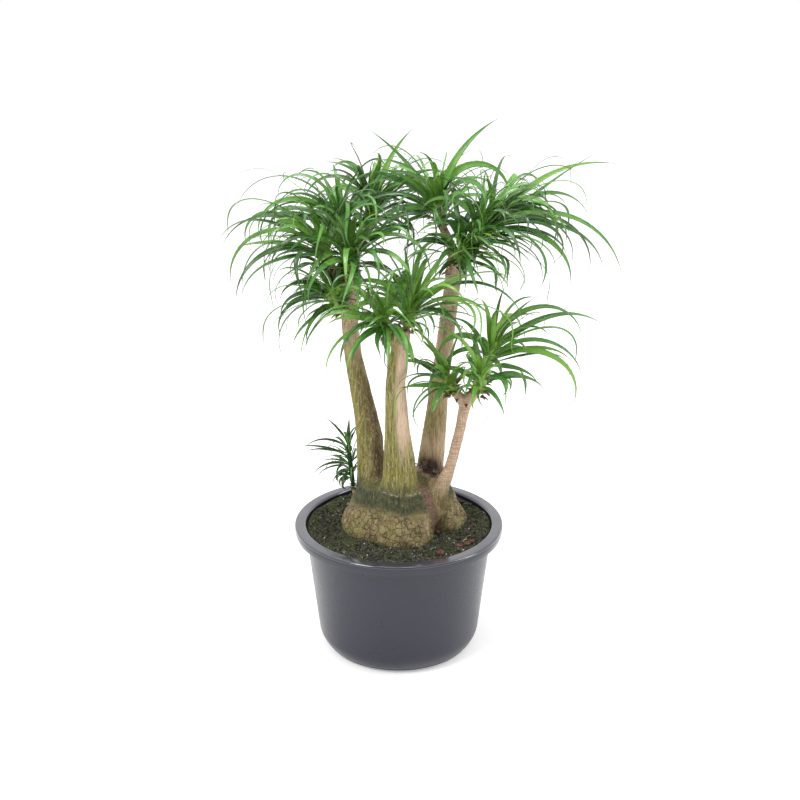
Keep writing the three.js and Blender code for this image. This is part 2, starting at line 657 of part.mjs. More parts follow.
const STONES = [
  [115, -96, 8],
  [130, -89, 7],
  [140, -80, 5.5],
  [78, -124, 7.5],
  [76, -29, 5],
];
const soil = plant.getObjectByName("soil");
STONES.forEach(([x, y, radius], i) => {
  const geometry = new THREE.DodecahedronGeometry(radius, 0);
  const points = geometry.attributes.position;
  for (let k = 0; k < points.count; k++) {
    const p = new THREE.Vector3().fromBufferAttribute(points, k);
    const key = Math.round(p.x * 10) * 7 + Math.round(p.y * 10) * 131 + Math.round(p.z * 10) * 1009;
    p.multiplyScalar(0.82 + 0.3 * chance(key + i));
    points.setXYZ(k, p.x, p.y * 0.85, Math.max(p.z * 0.75, -radius * 0.4));
  }
  geometry.translate(x, y, 0);
  let rise = 0;
  for (let k = 0; k < points.count; k++) {
    const above = new THREE.Vector3(points.getX(k), points.getY(k), 2 * SOIL_TOP);
    const [hit] = new THREE.Raycaster(above, new THREE.Vector3(0, 0, -1)).intersectObject(soil);
    rise = Math.max(rise, hit.point.z - points.getZ(k));
  }
  geometry.translate(0, 0, rise + GAP);
  place("stone_" + (i + 1), solid(geometry), 0x7a4038, 0.9);
});

export default plant;
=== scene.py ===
"""A potted ponytail palm: its finished pieces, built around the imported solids.

Metres, +Z up, the front towards -Y. Tables that repeat the solids' own measures are in millimetres.
"""

import math
from contextlib import contextmanager
from dataclasses import dataclass
from types import SimpleNamespace

import bmesh
import bpy
import numpy as np
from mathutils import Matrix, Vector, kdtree
from mathutils.bvhtree import BVHTree


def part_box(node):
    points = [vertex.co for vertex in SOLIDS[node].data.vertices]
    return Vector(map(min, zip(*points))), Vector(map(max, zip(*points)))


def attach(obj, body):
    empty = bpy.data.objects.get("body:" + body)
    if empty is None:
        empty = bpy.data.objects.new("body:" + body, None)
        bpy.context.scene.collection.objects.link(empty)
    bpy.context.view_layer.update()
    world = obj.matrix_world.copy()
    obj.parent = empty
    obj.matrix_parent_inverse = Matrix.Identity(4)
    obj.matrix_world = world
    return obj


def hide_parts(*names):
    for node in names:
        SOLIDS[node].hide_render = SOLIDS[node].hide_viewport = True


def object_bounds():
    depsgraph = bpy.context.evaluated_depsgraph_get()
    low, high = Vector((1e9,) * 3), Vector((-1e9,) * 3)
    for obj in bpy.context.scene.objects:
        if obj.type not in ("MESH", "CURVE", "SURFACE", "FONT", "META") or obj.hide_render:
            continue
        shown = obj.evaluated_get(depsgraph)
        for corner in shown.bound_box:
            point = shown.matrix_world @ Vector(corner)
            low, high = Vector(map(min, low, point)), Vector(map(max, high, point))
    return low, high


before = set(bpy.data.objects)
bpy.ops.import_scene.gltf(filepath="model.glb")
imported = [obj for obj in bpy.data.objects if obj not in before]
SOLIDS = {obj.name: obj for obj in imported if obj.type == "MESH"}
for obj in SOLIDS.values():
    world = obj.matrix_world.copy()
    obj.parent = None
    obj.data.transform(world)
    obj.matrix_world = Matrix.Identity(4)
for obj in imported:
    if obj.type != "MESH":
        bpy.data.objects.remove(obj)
solid_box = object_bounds()
MM = 0.001

# ---------------------------------------------------------------- camera, floor and light

camera = bpy.data.objects.new("camera", bpy.data.cameras.new("camera"))
camera.data.lens = 50
camera.data.sensor_width = 36
camera.location = (0.0025, -2.0, 1.182)
camera.rotation_euler = (math.radians(90 - 18.7), 0, 0)
bpy.context.scene.collection.objects.link(camera)
bpy.context.scene.camera = camera
bpy.context.scene.view_settings.view_transform = "Standard"


def new_object(name, data):
    made = bpy.data.objects.new(name, data)
    bpy.context.scene.collection.objects.link(made)
    return made


def soft_light(name, place, aim, size, power):
    lamp = bpy.data.lights.new(name, "AREA")
    lamp.shape = "RECTANGLE"
    lamp.size, lamp.size_y = size
    lamp.energy = power
    made = new_object(name, lamp)
    made.location = place
    way = np.subtract(aim, place)
    made.rotation_euler = (
        math.atan2(math.hypot(way[0], way[1]), -way[2]),
        0,
        math.atan2(way[1], way[0]) - math.pi / 2,
    )


soft_light("key_left", (-1.5, -1.5, 2.4), (0, 0, 0.7), (0.9, 0.9), 34)
soft_light("side_right", (1.9, -0.4, 1.3), (0, 0, 0.4), (0.5, 1.8), 12)
soft_light("top", (-0.1, 0.2, 2.7), (0, 0, 0.5), (0.6, 0.6), 24)

# ---------------------------------------------------------------- node trees


class Value:
    """A node's output, which can be reckoned with and linked to other nodes."""

    def __init__(self, socket):
        self.socket = socket
        self.tree = socket.id_data

    def __add__(self, other):
        return maths("ADD", self, other)

    def __sub__(self, other):
        return maths("SUBTRACT", self, other)

    def __mul__(self, other):
        return maths("MULTIPLY", self, other)

    def __abs__(self):
        return maths("ABSOLUTE", self)


def node(tree, kind, inputs=None, **settings):
    """A node with its settings, whose inputs are each given a number or linked to a value."""
    made = tree.nodes.new(kind)
    for name, setting in settings.items():
        setattr(made, name, setting)
    for key, value in (inputs or {}).items():
        if isinstance(value, Value):
            tree.links.new(value.socket, made.inputs[key])
        else:
            made.inputs[key].default_value = value
    return made


def output(tree, kind, inputs=None, out=0, **settings):
    """One output of a new node."""
    return Value(node(tree, kind, inputs, **settings).outputs[out])


def maths(operation, *values):
    """The result of a Math node."""
    tree = next(v.tree for v in values if isinstance(v, Value))
    return output(tree, "ShaderNodeMath", dict(enumerate(values)), operation=operation)


def vectors(operation, first, second):
    """The result of a Vector Math node."""
    inputs = {0: first, "Scale" if operation == "SCALE" else 1: second}
    out = "Value" if operation == "DOT_PRODUCT" else "Vector"
    return output(first.tree, "ShaderNodeVectorMath", inputs, out, operation=operation)


def part(vector, axis):
    return output(vector.tree, "ShaderNodeSeparateXYZ", {0: vector}, axis)


def joined(tree, **parts):
    """A vector from its X, Y and Z."""
    return output(tree, "ShaderNodeCombineXYZ", parts)


def stretched(place, scale):
    """The place with each axis scaled, to draw a pattern out along one of them."""
    return vectors("MULTIPLY", place, scale)


def spread(value, low, high, to_low=0.0, to_high=1.0, steps="SMOOTHSTEP"):
    """The value's place between low and high, from to_low to to_high."""
    inputs = {"Value": value, "From Min": low, "From Max": high, "To Min": to_low, "To Max": to_high}
    return output(value.tree, "ShaderNodeMapRange", inputs, "Result", interpolation_type=steps)


def blend(share, first, second):
    """A colour between two colours."""
    colours = [c if isinstance(c, Value) else (*c, 1) for c in (first, second)]
    inputs = dict(zip((0, 6, 7), (share, *colours)))
    return output(share.tree, "ShaderNodeMix", inputs, 2, data_type="RGBA")


def noise(place, scale, detail=3.0, roughness=0.5):
    inputs = {"Vector": place, "Scale": scale, "Detail": detail, "Roughness": roughness}
    return output(place.tree, "ShaderNodeTexNoise", inputs, "Fac")


def cells(place, scale, out="Distance", feature="F1"):
    inputs = {"Vector": place, "Scale": scale}
    return output(place.tree, "ShaderNodeTexVoronoi", inputs, out, feature=feature)


def read(tree, name, kind="FLOAT"):
    """A named attribute, in a material or in Geometry Nodes."""
    if tree.bl_idname == "ShaderNodeTree":
        out = "Vector" if kind == "FLOAT_VECTOR" else "Fac"
        return output(tree, "ShaderNodeAttribute", out=out, attribute_name=name)
    inputs = {"Name": name}
    return output(tree, "GeometryNodeInputNamedAttribute", inputs, "Attribute", data_type=kind)


def moved(geometry, **how):
    """The geometry with its points at a Position, or moved by an Offset."""
    return output(geometry.tree, "GeometryNodeSetPosition", {"Geometry": geometry, **how})


def stored(geometry, name, value, kind="FLOAT"):
    """The geometry with a value stored for each of its points."""
    inputs = {"Geometry": geometry, "Name": name, "Value": value}
    return output(geometry.tree, "GeometryNodeStoreNamedAttribute", inputs, data_type=kind)


def studio_world():
    """White paper all round, lit from behind and above, with the dimmer room in front."""
    world = bpy.data.worlds.new("studio")
    bpy.context.scene.world = world
    world.use_nodes = True
    tree = world.node_tree
    way = output(tree, "ShaderNodeTexCoord", out="Generated")
    behind = spread(part(way, "Y"), -0.75, 0.35, 0.45, 1.0)
    above = spread(part(way, "Z"), 0.35, 0.9, 0.0, 0.5)
    light = maths("MINIMUM", behind + above, 1.0)
    seen = output(tree, "ShaderNodeLightPath", out="Is Camera Ray")
    paper = tree.nodes["Background"].inputs
    tree.links.new(maths("MAXIMUM", light, seen).socket, paper["Strength"])
    paper["Color"].default_value = (1, 1, 1, 1)


studio_world()


@dataclass
class Finish:
    """A material under construction."""

    material: bpy.types.Material
    tree: bpy.types.NodeTree
    shader: bpy.types.Node
    place: Value

    def wire(self, name, value):
        self.tree.links.new(value.socket, self.shader.inputs[name])

    def relief(self, height, depth, strength=1.0):
        """Bump from a height of 0 to 1 that stands for a depth in metres."""
        inputs = {"Height": height, "Distance": depth, "Strength": strength}
        self.wire("Normal", output(self.tree, "ShaderNodeBump", inputs))


def finish(name, **sockets):
    material = bpy.data.materials.new(name)
    material.use_nodes = True
    tree = material.node_tree
    shader = tree.nodes["Principled BSDF"]
    for key, value in sockets.items():
        shader.inputs[key.replace("_", " ").title().replace("Ior", "IOR")].default_value = value
    place = output(tree, "ShaderNodeTexCoord", out="Object")
    return Finish(material, tree, shader, place)


class Recipe:
    """A Geometry Nodes tree with named inputs: a geometry, those of `kinds` and a material."""

    def __init__(self, name, **kinds):
        self.tree = bpy.data.node_groups.new(name, "GeometryNodeTree")
        self.names = {}
        for key, kind in {"geometry": "Geometry", **kinds, "material": "Material"}.items():
            made = self.tree.interface.new_socket(
                key.replace("_", " ").capitalize(), in_out="INPUT", socket_type="NodeSocket" + kind
            )
            self.names[key] = made.identifier
        source = self.tree.nodes.new("NodeGroupInput")
        self.given = SimpleNamespace(**{k: Value(s) for k, s in zip(self.names, source.outputs)})
        self.at = output(self.tree, "GeometryNodeInputPosition")

    def ended(self, geometry):
        """The recipe, ended in a plain mesh of one material."""
        sockets = self.tree.interface
        sockets.new_socket("Geometry", in_out="OUTPUT", socket_type="NodeSocketGeometry")
        real = output(self.tree, "GeometryNodeRealizeInstances", {"Geometry": geometry})
        inputs = {"Geometry": real, "Material": self.given.material}
        dressed = output(self.tree, "GeometryNodeSetMaterial", inputs)
        node(self.tree, "NodeGroupOutput", {0: dressed})
        return self

    def made_from(self, mesh, voxel=0.0, **values):
        """The plain mesh that the tree makes from a mesh, remeshed first where a voxel is given."""
        holder = new_object("holder", mesh)
        if voxel:
            remesh = holder.modifiers.new("remesh", "REMESH")
            remesh.mode = "VOXEL"
            remesh.voxel_size = voxel
        modifier = holder.modifiers.new("recipe", "NODES")
        modifier.node_group = self.tree
        for name, value in values.items():
            modifier[self.names[name]] = value
        return evaluated(holder)


def evaluated(holder):
    """The plain mesh of an object with its modifiers; the object itself goes."""
    graph = bpy.context.evaluated_depsgraph_get()
    made = bpy.data.meshes.new_from_object(holder.evaluated_get(graph), depsgraph=graph)
    bpy.data.objects.remove(holder)
    return made


# ---------------------------------------------------------------- meshes


def mesh_of(name, points, faces=(), edges=()):
    made = bpy.data.meshes.new(name)
    made.from_pydata([tuple(p) for p in points], list(edges), list(faces))
    made.update()
    return made


def point_data(mesh, name, values):
    """Stores a number or a vector for each point of a mesh."""
    values = np.asarray(values, np.float32)
    kind = "FLOAT_VECTOR" if values.ndim == 2 else "FLOAT"
    layer = mesh.attributes.new(name, kind, "POINT")
    layer.data.foreach_set("vector" if values.ndim == 2 else "value", values.ravel())


def points_of(mesh):
    found = np.empty(3 * len(mesh.vertices), np.float32)
    mesh.vertices.foreach_get("co", found)
    return found.reshape(-1, 3).astype(float)


@contextmanager
def edited(mesh):
    """A mesh opened for editing, and written back afterwards."""
    work = bmesh.new()
    work.from_mesh(mesh)
    yield work
    work.to_mesh(mesh)
    work.free()


def merged_copy(solid):
    """A copy of a solid's mesh with its loose triangles joined."""
    made = SOLIDS[solid].data.copy()
    with edited(made) as work:
        bmesh.ops.remove_doubles(work, verts=work.verts, dist=1e-6)
    return made


def smooth_faces(mesh):
    mesh.polygons.foreach_set("use_smooth", np.ones(len(mesh.polygons), bool))
    mesh.update()


def outward(mesh):
    """Turns a closed mesh right side out."""
    with edited(mesh) as work:
        bmesh.ops.remove_doubles(work, verts=work.verts, dist=1e-7)
        bmesh.ops.recalc_face_normals(work, faces=work.faces)
        if work.calc_volume(signed=True) < 0:
            bmesh.ops.reverse_faces(work, faces=work.faces)


def piece(name, mesh, slot, *replaced):
    """A finished piece, and the solid that it stands for, if it replaces one."""
    made = new_object(name, mesh)
    mesh.name = name
    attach(made, "root")
    if replaced:
        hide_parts(*replaced)


MASK = 0xFFFFFFFF


def chance(seed):
    """A number from 0 to 1 that depends only on its seed, the same as in the solids."""
    t = (seed + 0x6D2B79F5) & MASK
    t = ((t ^ (t >> 15)) * (t | 1)) & MASK
    t ^= (t + ((t ^ (t >> 7)) * (t | 61))) & MASK
    return ((t ^ (t >> 14)) & MASK) / 4294967296


# ---------------------------------------------------------------- pot

POT_HEIGHT = 256
RIM_RADIUS = 205
WALL_TOP_RADIUS = 184.6
WALL_FOOT_RADIUS = 159
FOOT_RADIUS = 133
PAD_RADIUS = 24
FLOOR_TOP = 6
WALL = 3
# Radius and height of the corners inside the pot
INNER_TOP = (WALL_TOP_RADIUS - WALL, POT_HEIGHT - 4)
INNER_FOOT = (WALL_FOOT_RADIUS - WALL, 30)
FLOOR_EDGE = (WALL_FOOT_RADIUS - 13, FLOOR_TOP)
POT_SIDES = 160
DRAIN_HOLES = 4
DRAIN_RADIUS = 8
DRAIN_CIRCLE = 96
DRILL_LENGTH = 12
# Radius, height and how far each corner is rounded off
POT_PROFILE = [
    (PAD_RADIUS, 0, 0.8),
    (PAD_RADIUS, 3, 0.8),
    (FOOT_RADIUS - 5, 3, 0.8),
    (FOOT_RADIUS - 5, 0, 1),
    (FOOT_RADIUS, 0, 1.5),
    (FOOT_RADIUS, 3, 1.5),
    (149, 8.5, 10),
    (WALL_FOOT_RADIUS, 27, 12),
    (WALL_TOP_RADIUS, POT_HEIGHT - 5, 2),
    (RIM_RADIUS - 3.5, POT_HEIGHT - 5, 1.2),
    (RIM_RADIUS - 4.5, POT_HEIGHT - 19, 0.7),
    (RIM_RADIUS - 2.2, POT_HEIGHT - 19, 0.8),
    (RIM_RADIUS, POT_HEIGHT - 8, 3.6),
    (RIM_RADIUS - 1, POT_HEIGHT, 5.5),
    (WALL_TOP_RADIUS - 0.6, POT_HEIGHT, 3),
    (*INNER_TOP, 2),
    (*INNER_FOOT, 8),
    (*FLOOR_EDGE, 6),
]


def rounded(corners, steps=7):
    """The profile with an arc of a few points at each of its corners."""
    line = []
    for index, (radius, height, reach) in enumerate(corners):
        here = np.array([radius, height], float)
        if index in (0, len(corners) - 1):
            line.append(here)
            continue
        before = np.array(corners[index - 1][:2]) - here
        after = np.array(corners[index + 1][:2]) - here
        reach = min(reach, 0.45 * np.linalg.norm(before), 0.45 * np.linalg.norm(after))
        start = here + before / np.linalg.norm(before) * reach
        end = here + after / np.linalg.norm(after) * reach
        for t in np.linspace(0, 1, steps):
            line.append((1 - t) ** 2 * start + 2 * t * (1 - t) * here + t * t * end)
    return line


def polar(radius, angle, height):
    """The place at a radius and an angle, from millimetres to metres."""
    return (radius * MM * math.cos(angle), radius * MM * math.sin(angle), height * MM)


def turned(name, profile, sides):
    """A closed round form: the profile turned about the Z axis, from its pole to its other pole."""
    points = [(0, 0, profile[0][1] * MM)]
    for radius, height in profile:
        points += [polar(radius, 2 * math.pi * side / sides, height) for side in range(sides)]
    points.append((0, 0, profile[-1][1] * MM))
    faces = []
    for side in range(sides):
        after = (side + 1) % sides
        faces.append((0, 1 + after, 1 + side))
        for ring in range(len(profile) - 1):
            low = 1 + ring * sides
            faces.append((low + side, low + after, low + sides + after, low + sides + side))
        last = 1 + (len(profile) - 1) * sides
        faces.append((last + side, last + after, len(points) - 1))
    made = mesh_of(name, points, faces)
    outward(made)
    return made


def drilled(mesh):
    """The pot with its drain holes."""
    pot = new_object("drilled", mesh)
    cutter = bpy.data.meshes.new("drills")
    with edited(cutter) as drills:
        for hole in range(DRAIN_HOLES):
            made = bmesh.ops.create_cone(
                drills, cap_ends=True, segments=24, radius1=DRAIN_RADIUS * MM,
                radius2=DRAIN_RADIUS * MM, depth=DRILL_LENGTH * MM,
            )
            angle = 2 * math.pi * (hole + 0.5) / DRAIN_HOLES
            middle = polar(DRAIN_CIRCLE, angle, DRILL_LENGTH / 3)
            bmesh.ops.translate(drills, verts=made["verts"], vec=middle)
    tool = new_object("drills", cutter)
    cut = pot.modifiers.new("drain", "BOOLEAN")
    cut.object = tool
    cut.operation = "DIFFERENCE"
    cut.solver = "EXACT"
    made = evaluated(pot)
    bpy.data.objects.remove(tool)
    return made


def pot_finish():
    """Anthracite plastic: dusty low down, with a glossier rim whose top is painted lighter: partly dust
    and wear, partly a painted sheen.
    """
    pot = finish(
        "pot_plastic", roughness=0.3, specular_ior_level=0.5, coat_roughness=0.1, coat_ior=1.8
    )
    height = part(pot.place, "Z")
    cloud = noise(pot.place, 9, 4, 0.55)
    dust = spread(height, 0.05, 0.0) * spread(cloud, 0.35, 0.75)
    body = blend(cloud, (0.011, 0.012, 0.025), (0.018, 0.019, 0.034))
    body = blend(dust * 0.35, body, (0.12, 0.115, 0.105))
    # The rim's top is painted lighter: partly dust and wear, partly a painted sheen that stands in for
    # its reflection of the bright surroundings.
    rim_dust_and_sheen = spread(height, 0.2535, 0.2555) * spread(cloud, 0.1, 0.6, 0.7, 1)
    pot.wire("Base Color", blend(rim_dust_and_sheen, body, (0.040, 0.042, 0.064)))
    gloss = spread(cloud, 0.3, 0.7, 0.25, 0.34)
    pot.wire("Roughness", gloss * spread(height, 0.234, 0.238, 1.0, 0.55))
    pot.wire("Coat Weight", spread(height, 0.2505, 0.2535) * spread(cloud, 0.3, 0.6, 0.7, 1))
    pot.relief(noise(pot.place, 900, 2, 0.5), 0.00010, 0.2)
    return pot.material


pot_mesh = drilled(turned("pot_shell", rounded(POT_PROFILE), POT_SIDES))
smooth_faces(pot_mesh)
pot_mesh.materials.append(pot_finish())
piece("pot_shell", pot_mesh, "pot_plastic", "pot")

# ---------------------------------------------------------------- bark of the base and the stems

# Points of each stem's middle line, with the stem's radius there
STEMS = {
    "left": [
        (-50, 26, 292, 36), (-54, 29, 322, 31), (-55, 33, 350, 28.5), (-57, 40, 415, 26.5),
        (-66, 45, 469, 23), (-76, 50, 521, 20.5), (-87, 50, 575, 18), (-93, 50, 640, 16.5),
        (-94, 50, 712, 14),
    ],
    "middle": [
        (1, -24, 316, 32), (2, -28, 338, 38.5), (2, -31, 356, 35.5), (1, -36, 394, 31),
        (-2, -41, 449, 25.5), (-4, -45, 502, 22), (-6, -49, 553, 19.5), (0, -50, 605, 18),
        (8, -50, 648, 15),
    ],
    "right": [
        (58, 54, 296, 38), (63, 59, 330, 30), (63, 60, 352, 27), (69, 60, 407, 24.5),
        (75, 60, 464, 21.5), (80, 60, 518, 19), (88, 60, 590, 17.5), (96, 60, 668, 16.5),
        (102, 60, 722, 16.5), (107, 60, 742, 20), (110, 58, 756, 14),
    ],
    "front": [
        (68, -8, 284, 25), (74, -14, 306, 21), (85, -19, 340, 16), (96, -20, 368, 12.4),
        (104, -20, 396, 11.5), (116, -20, 450, 11.3), (124, -20, 496, 12), (128, -21, 516, 11),
    ],
}
BARK_VOXEL = 0.0024
# What the bark is like: zones that are painted stem by stem, and zones of the base
ZONES = ("green", "pink", "brown", "ringed", "crust")
BASE_ZONES = ("on_base", "plated", "red_dirt", "blackened_hollow", "crevice_painted_shade")
# Height up to which the base keeps its plates
PLATES_TOP = 0.297


def cracked_plates(place):
    """Colour of the plates of the base, with painted shade in their cracks, and how deep the cracks are:
    two sizes, neither straight.
    """
    drift = joined(
        place.tree, **{axis: noise(place, scale, 2) for axis, scale in zip("XYZ", (60, 67, 73))}
    )
    bent = vectors("ADD", place, vectors("SCALE", drift, 0.018))
    one_each = output(
        place.tree, "ShaderNodeSeparateColor", {0: cells(bent, 92, "Color")}, "Red"
    )
    drifting = spread(noise(place, 48, 3, 0.6), 0.32, 0.68)
    plates = blend(one_each * 0.45 + drifting * 0.55, (0.17, 0.125, 0.055), (0.62, 0.49, 0.28))
    mottle = noise(place, 130, 4, 0.6)
    plates = blend(spread(mottle, 0.35, 0.7, 0, 0.55), plates, (0.31, 0.23, 0.12))
    olive = spread(noise(place, 22, 2), 0.45, 0.65, 0, 0.55)
    plates = blend(olive, plates, (0.32, 0.29, 0.09))
    gaping = spread(noise(place, 34, 2), 0.35, 0.65, 0.04, 0.15)
    wide = spread(cells(bent, 92, feature="DISTANCE_TO_EDGE"), 0.0, gaping, 1, 0)
    hair = spread(cells(bent, 230, feature="DISTANCE_TO_EDGE"), 0.0, 0.09, 0.35, 0)
    cracks = maths("MAXIMUM", wide, hair)
    # The cracks are painted dark: painted shade in them, on top of their bump.
    return blend(cracks * 0.8, plates, (0.055, 0.040, 0.018)), cracks, mottle


def stem_skin(place, fibres, fissures, zones):
    """Colour of the stems: fine upright fissures, and ring scars where the bark is young."""
    green, pink, brown = zones["green"], zones["pink"], zones["brown"]
    patches = noise(stretched(place, (1, 1, 0.3)), 48, 3, 0.6)
    stem = blend(spread(patches, 0.36, 0.64), (0.19, 0.16, 0.055), (0.38, 0.32, 0.13))
    rings = noise(stretched(place, (0.25, 0.25, 2.6)), 190, 3, 0.6)
    scars = spread(rings, 0.40, 0.62, 1, 0) * zones["ringed"]
    rosy = blend(patches, (0.60, 0.425, 0.295), (0.80, 0.59, 0.44))
    stem = blend(pink, stem, blend(scars * 0.6, rosy, (0.33, 0.21, 0.14)))
    blotches = spread(noise(stretched(place, (1, 1, 0.4)), 75, 3, 0.6), 0.36, 0.6, 0.35, 1.1)
    umber = blend(patches, (0.07, 0.042, 0.026), (0.19, 0.12, 0.075))
    stem = blend(brown * blotches, stem, umber)
    mossy = blend(spread(fibres, 0.36, 0.62), (0.115, 0.113, 0.021), (0.30, 0.272, 0.072))
    damp = spread(part(place, "Z"), 0.366, 0.338) * spread(patches, 0.3, 0.6, 0.2, 0.9)
    mossy = blend(damp, mossy, (0.075, 0.085, 0.034))
    stem = blend(green * spread(patches, 0.2, 0.5), stem, mossy)
    dark_lines = spread(fissures, 0.48, 0.38) * spread(pink, 0.0, 1.0, 0.85, 0.55)
    stem = blend(dark_lines, stem, blend(pink, (0.10, 0.068, 0.028), (0.24, 0.16, 0.09)))
    for scale, shade, depth in ((120, (0.075, 0.045, 0.02), 0.6), (165, (0.62, 0.56, 0.36), 0.5)):
        wavy = noise(stretched(place, (1, 1, 0.13)), scale, 3, 0.55)
        seam = spread(abs(wavy - 0.5), 0.022, 0.0) * spread(pink, 0.0, 1.0, depth, 0.25 * depth)
        stem = blend(seam, stem, shade)
    pale_lines = spread(fissures, 0.57, 0.68, 0, 0.5) * spread(brown, 0.1, 0.6, 1, 0.2)
    return blend(pale_lines, stem, (0.56, 0.49, 0.28)), scars


def bark_finish():
    """Tan cracked plates below, a dark smooth shoulder, and olive and pinkish bark above."""
    bark = finish("bark", roughness=0.8, specular_ior_level=0.25)
    place = read(bark.tree, "grown_at", "FLOAT_VECTOR")
    zones = {name: read(bark.tree, name) for name in (*ZONES, *BASE_ZONES)}
    plates, cracks, mottle = cracked_plates(place)

    fibres = noise(stretched(place, (1, 1, 0.08)), 300, 4, 0.65)
    shoulder = blend(spread(fibres, 0.36, 0.66), (0.037, 0.041, 0.024), (0.090, 0.094, 0.049))
    worn = spread(noise(place, 70, 4, 0.65), 0.48, 0.66, 0, 0.55)
    shoulder = blend(worn, shoulder, (0.148, 0.148, 0.066))
    streaks = noise(stretched(place, (1, 1, 0.04)), 240, 2, 0.5)
    shoulder = blend(spread(streaks, 0.62, 0.70, 0, 0.6), shoulder, (0.27, 0.27, 0.085))

    fissures = noise(stretched(place, (1, 1, 0.06)), 520, 5, 0.7)
    stem, scars = stem_skin(place, fibres, fissures, zones)
    skin = blend(zones["on_base"], stem, blend(zones["plated"], shoulder, plates))

    grit = spread(noise(place, 160, 3, 0.7), 0.35, 0.6)
    earth = blend(grit, (0.065, 0.034, 0.024), (0.24, 0.14, 0.10))
    skin = blend(zones["red_dirt"] * (grit + 0.25), skin, earth)
    crumbly = grit * spread(noise(place, 90, 2), 0.42, 0.58)
    skin = blend(zones["crust"] * crumbly, skin, (0.52, 0.48, 0.36))
    # The hollow between the stems' feet, darkened almost to black and broken up by noise.
    hollow_blackening = zones["blackened_hollow"] * spread(noise(place, 95, 4, 0.7), 0.36, 0.56, 0.25, 1)
    skin = blend(hollow_blackening, skin, (0.020, 0.012, 0.008))
    soil_line = spread(part(place, "Z"), 0.236, 0.252, 1, 0)
    skin = blend(soil_line * spread(noise(place, 60, 3), 0.35, 0.6), skin, (0.09, 0.105, 0.03))
    # Painted shade: the bark is darkened in its crevices, where its surface is sunk.
    bark.wire("Base Color", blend(zones["crevice_painted_shade"], skin, (0.045, 0.03, 0.014)))

    ribs = fissures * spread(zones["plated"], 0, 1, 1, 0.2)
    bark.relief(ribs + mottle * 0.35 - scars * 0.4 - cracks * zones["plated"], 0.0022, 0.8)
    return bark.material


def bark_recipe():
    """Smooths the joined stems and raises their ridges, scars and plates."""
    made = Recipe(
        "bark", stem_smoothing="Int", base_smoothing="Int", ridge_depth="Float", plate_swell="Float"
    )
    given, at = made.given, made.at
    z = part(at, "Z")

    def blurred(rounds):
        inputs = {"Value": at, "Iterations": rounds}
        return output(made.tree, "GeometryNodeBlurAttribute", inputs, data_type="FLOAT_VECTOR")

    inputs = {
        0: spread(z, PLATES_TOP - 0.008, PLATES_TOP + 0.012),
        4: blurred(given.base_smoothing),
        5: blurred(given.stem_smoothing),
    }
    eased = output(made.tree, "ShaderNodeMix", inputs, 1, data_type="VECTOR")
    shaped = moved(given.geometry, Position=eased)

    normal = output(made.tree, "GeometryNodeInputNormal")
    sunk = vectors("DOT_PRODUCT", vectors("SUBTRACT", blurred(5), at), normal)
    kept = stored(stored(shaped, "sunk", sunk), "grown_at", at, "FLOAT_VECTOR")
    fibres = noise(stretched(at, (1, 1, 0.12)), 170, 3, 0.6) - 0.5
    upper = spread(z, 0.30, 0.36)
    rise = fibres * given.ridge_depth * spread(z, 0.40, 0.75, 1.0, 0.45) * upper
    swell = (noise(at, 75, 3, 0.55) - 0.5) * given.plate_swell * maths("SUBTRACT", 1.0, upper)
    return made.ended(moved(kept, Offset=vectors("SCALE", normal, rise + swell)))


def from_segment(points, low, high):
    """How far along a segment each point falls, from 0 to 1, and the way to it from there."""
    span = np.subtract(high, low)
    t = np.clip((points - low) @ span / (span @ span), 0, 1)
    return t, points - low - t[:, None] * span


def nearest_stem(points):
    """Each point's nearest stem, how far off it is and how far right, in that stem's radii."""
    owner = np.zeros(len(points), int)
    reach = np.full(len(points), 1e9)
    right = np.zeros(len(points))
    for number, stations in enumerate(STEMS.values()):
        line = np.array(stations, float)
        for low, high in zip(line[:-1], line[1:]):
            t, off = from_segment(points, low[:3], high[:3])
            radius = low[3] + t * (high[3] - low[3])
            share = np.linalg.norm(off, axis=1) / radius
            nearer = share < reach
            owner[nearer] = number
            reach[nearer] = share[nearer]
            right[nearer] = (off[:, 0] / radius)[nearer]
    return owner, reach, right


def ease(value, low, high):
    t = np.clip((value - low) / (high - low), 0, 1)
    return t * t * (3 - 2 * t)


def near_line(points, line):
    """Each point's distance from a line of points."""
    gap = np.full(len(points), 1e9)
    for low, high in zip(line[:-1], line[1:]):
        gap = np.minimum(gap, np.linalg.norm(from_segment(points, low, high)[1], axis=1))
    return gap


# Where dirt has gathered down the fold of the base; and the hollow between the stems' feet, which is
# darkened almost to black
CREASE = [(75, -16, 245), (72, -40, 269), (64, -47, 302), (56, -46, 319), (47, -40, 335), (40, -26, 350)]
CAVITY = [(38, 30, 358), (52, 36, 357), (66, 34, 356), (76, 35, 342)]


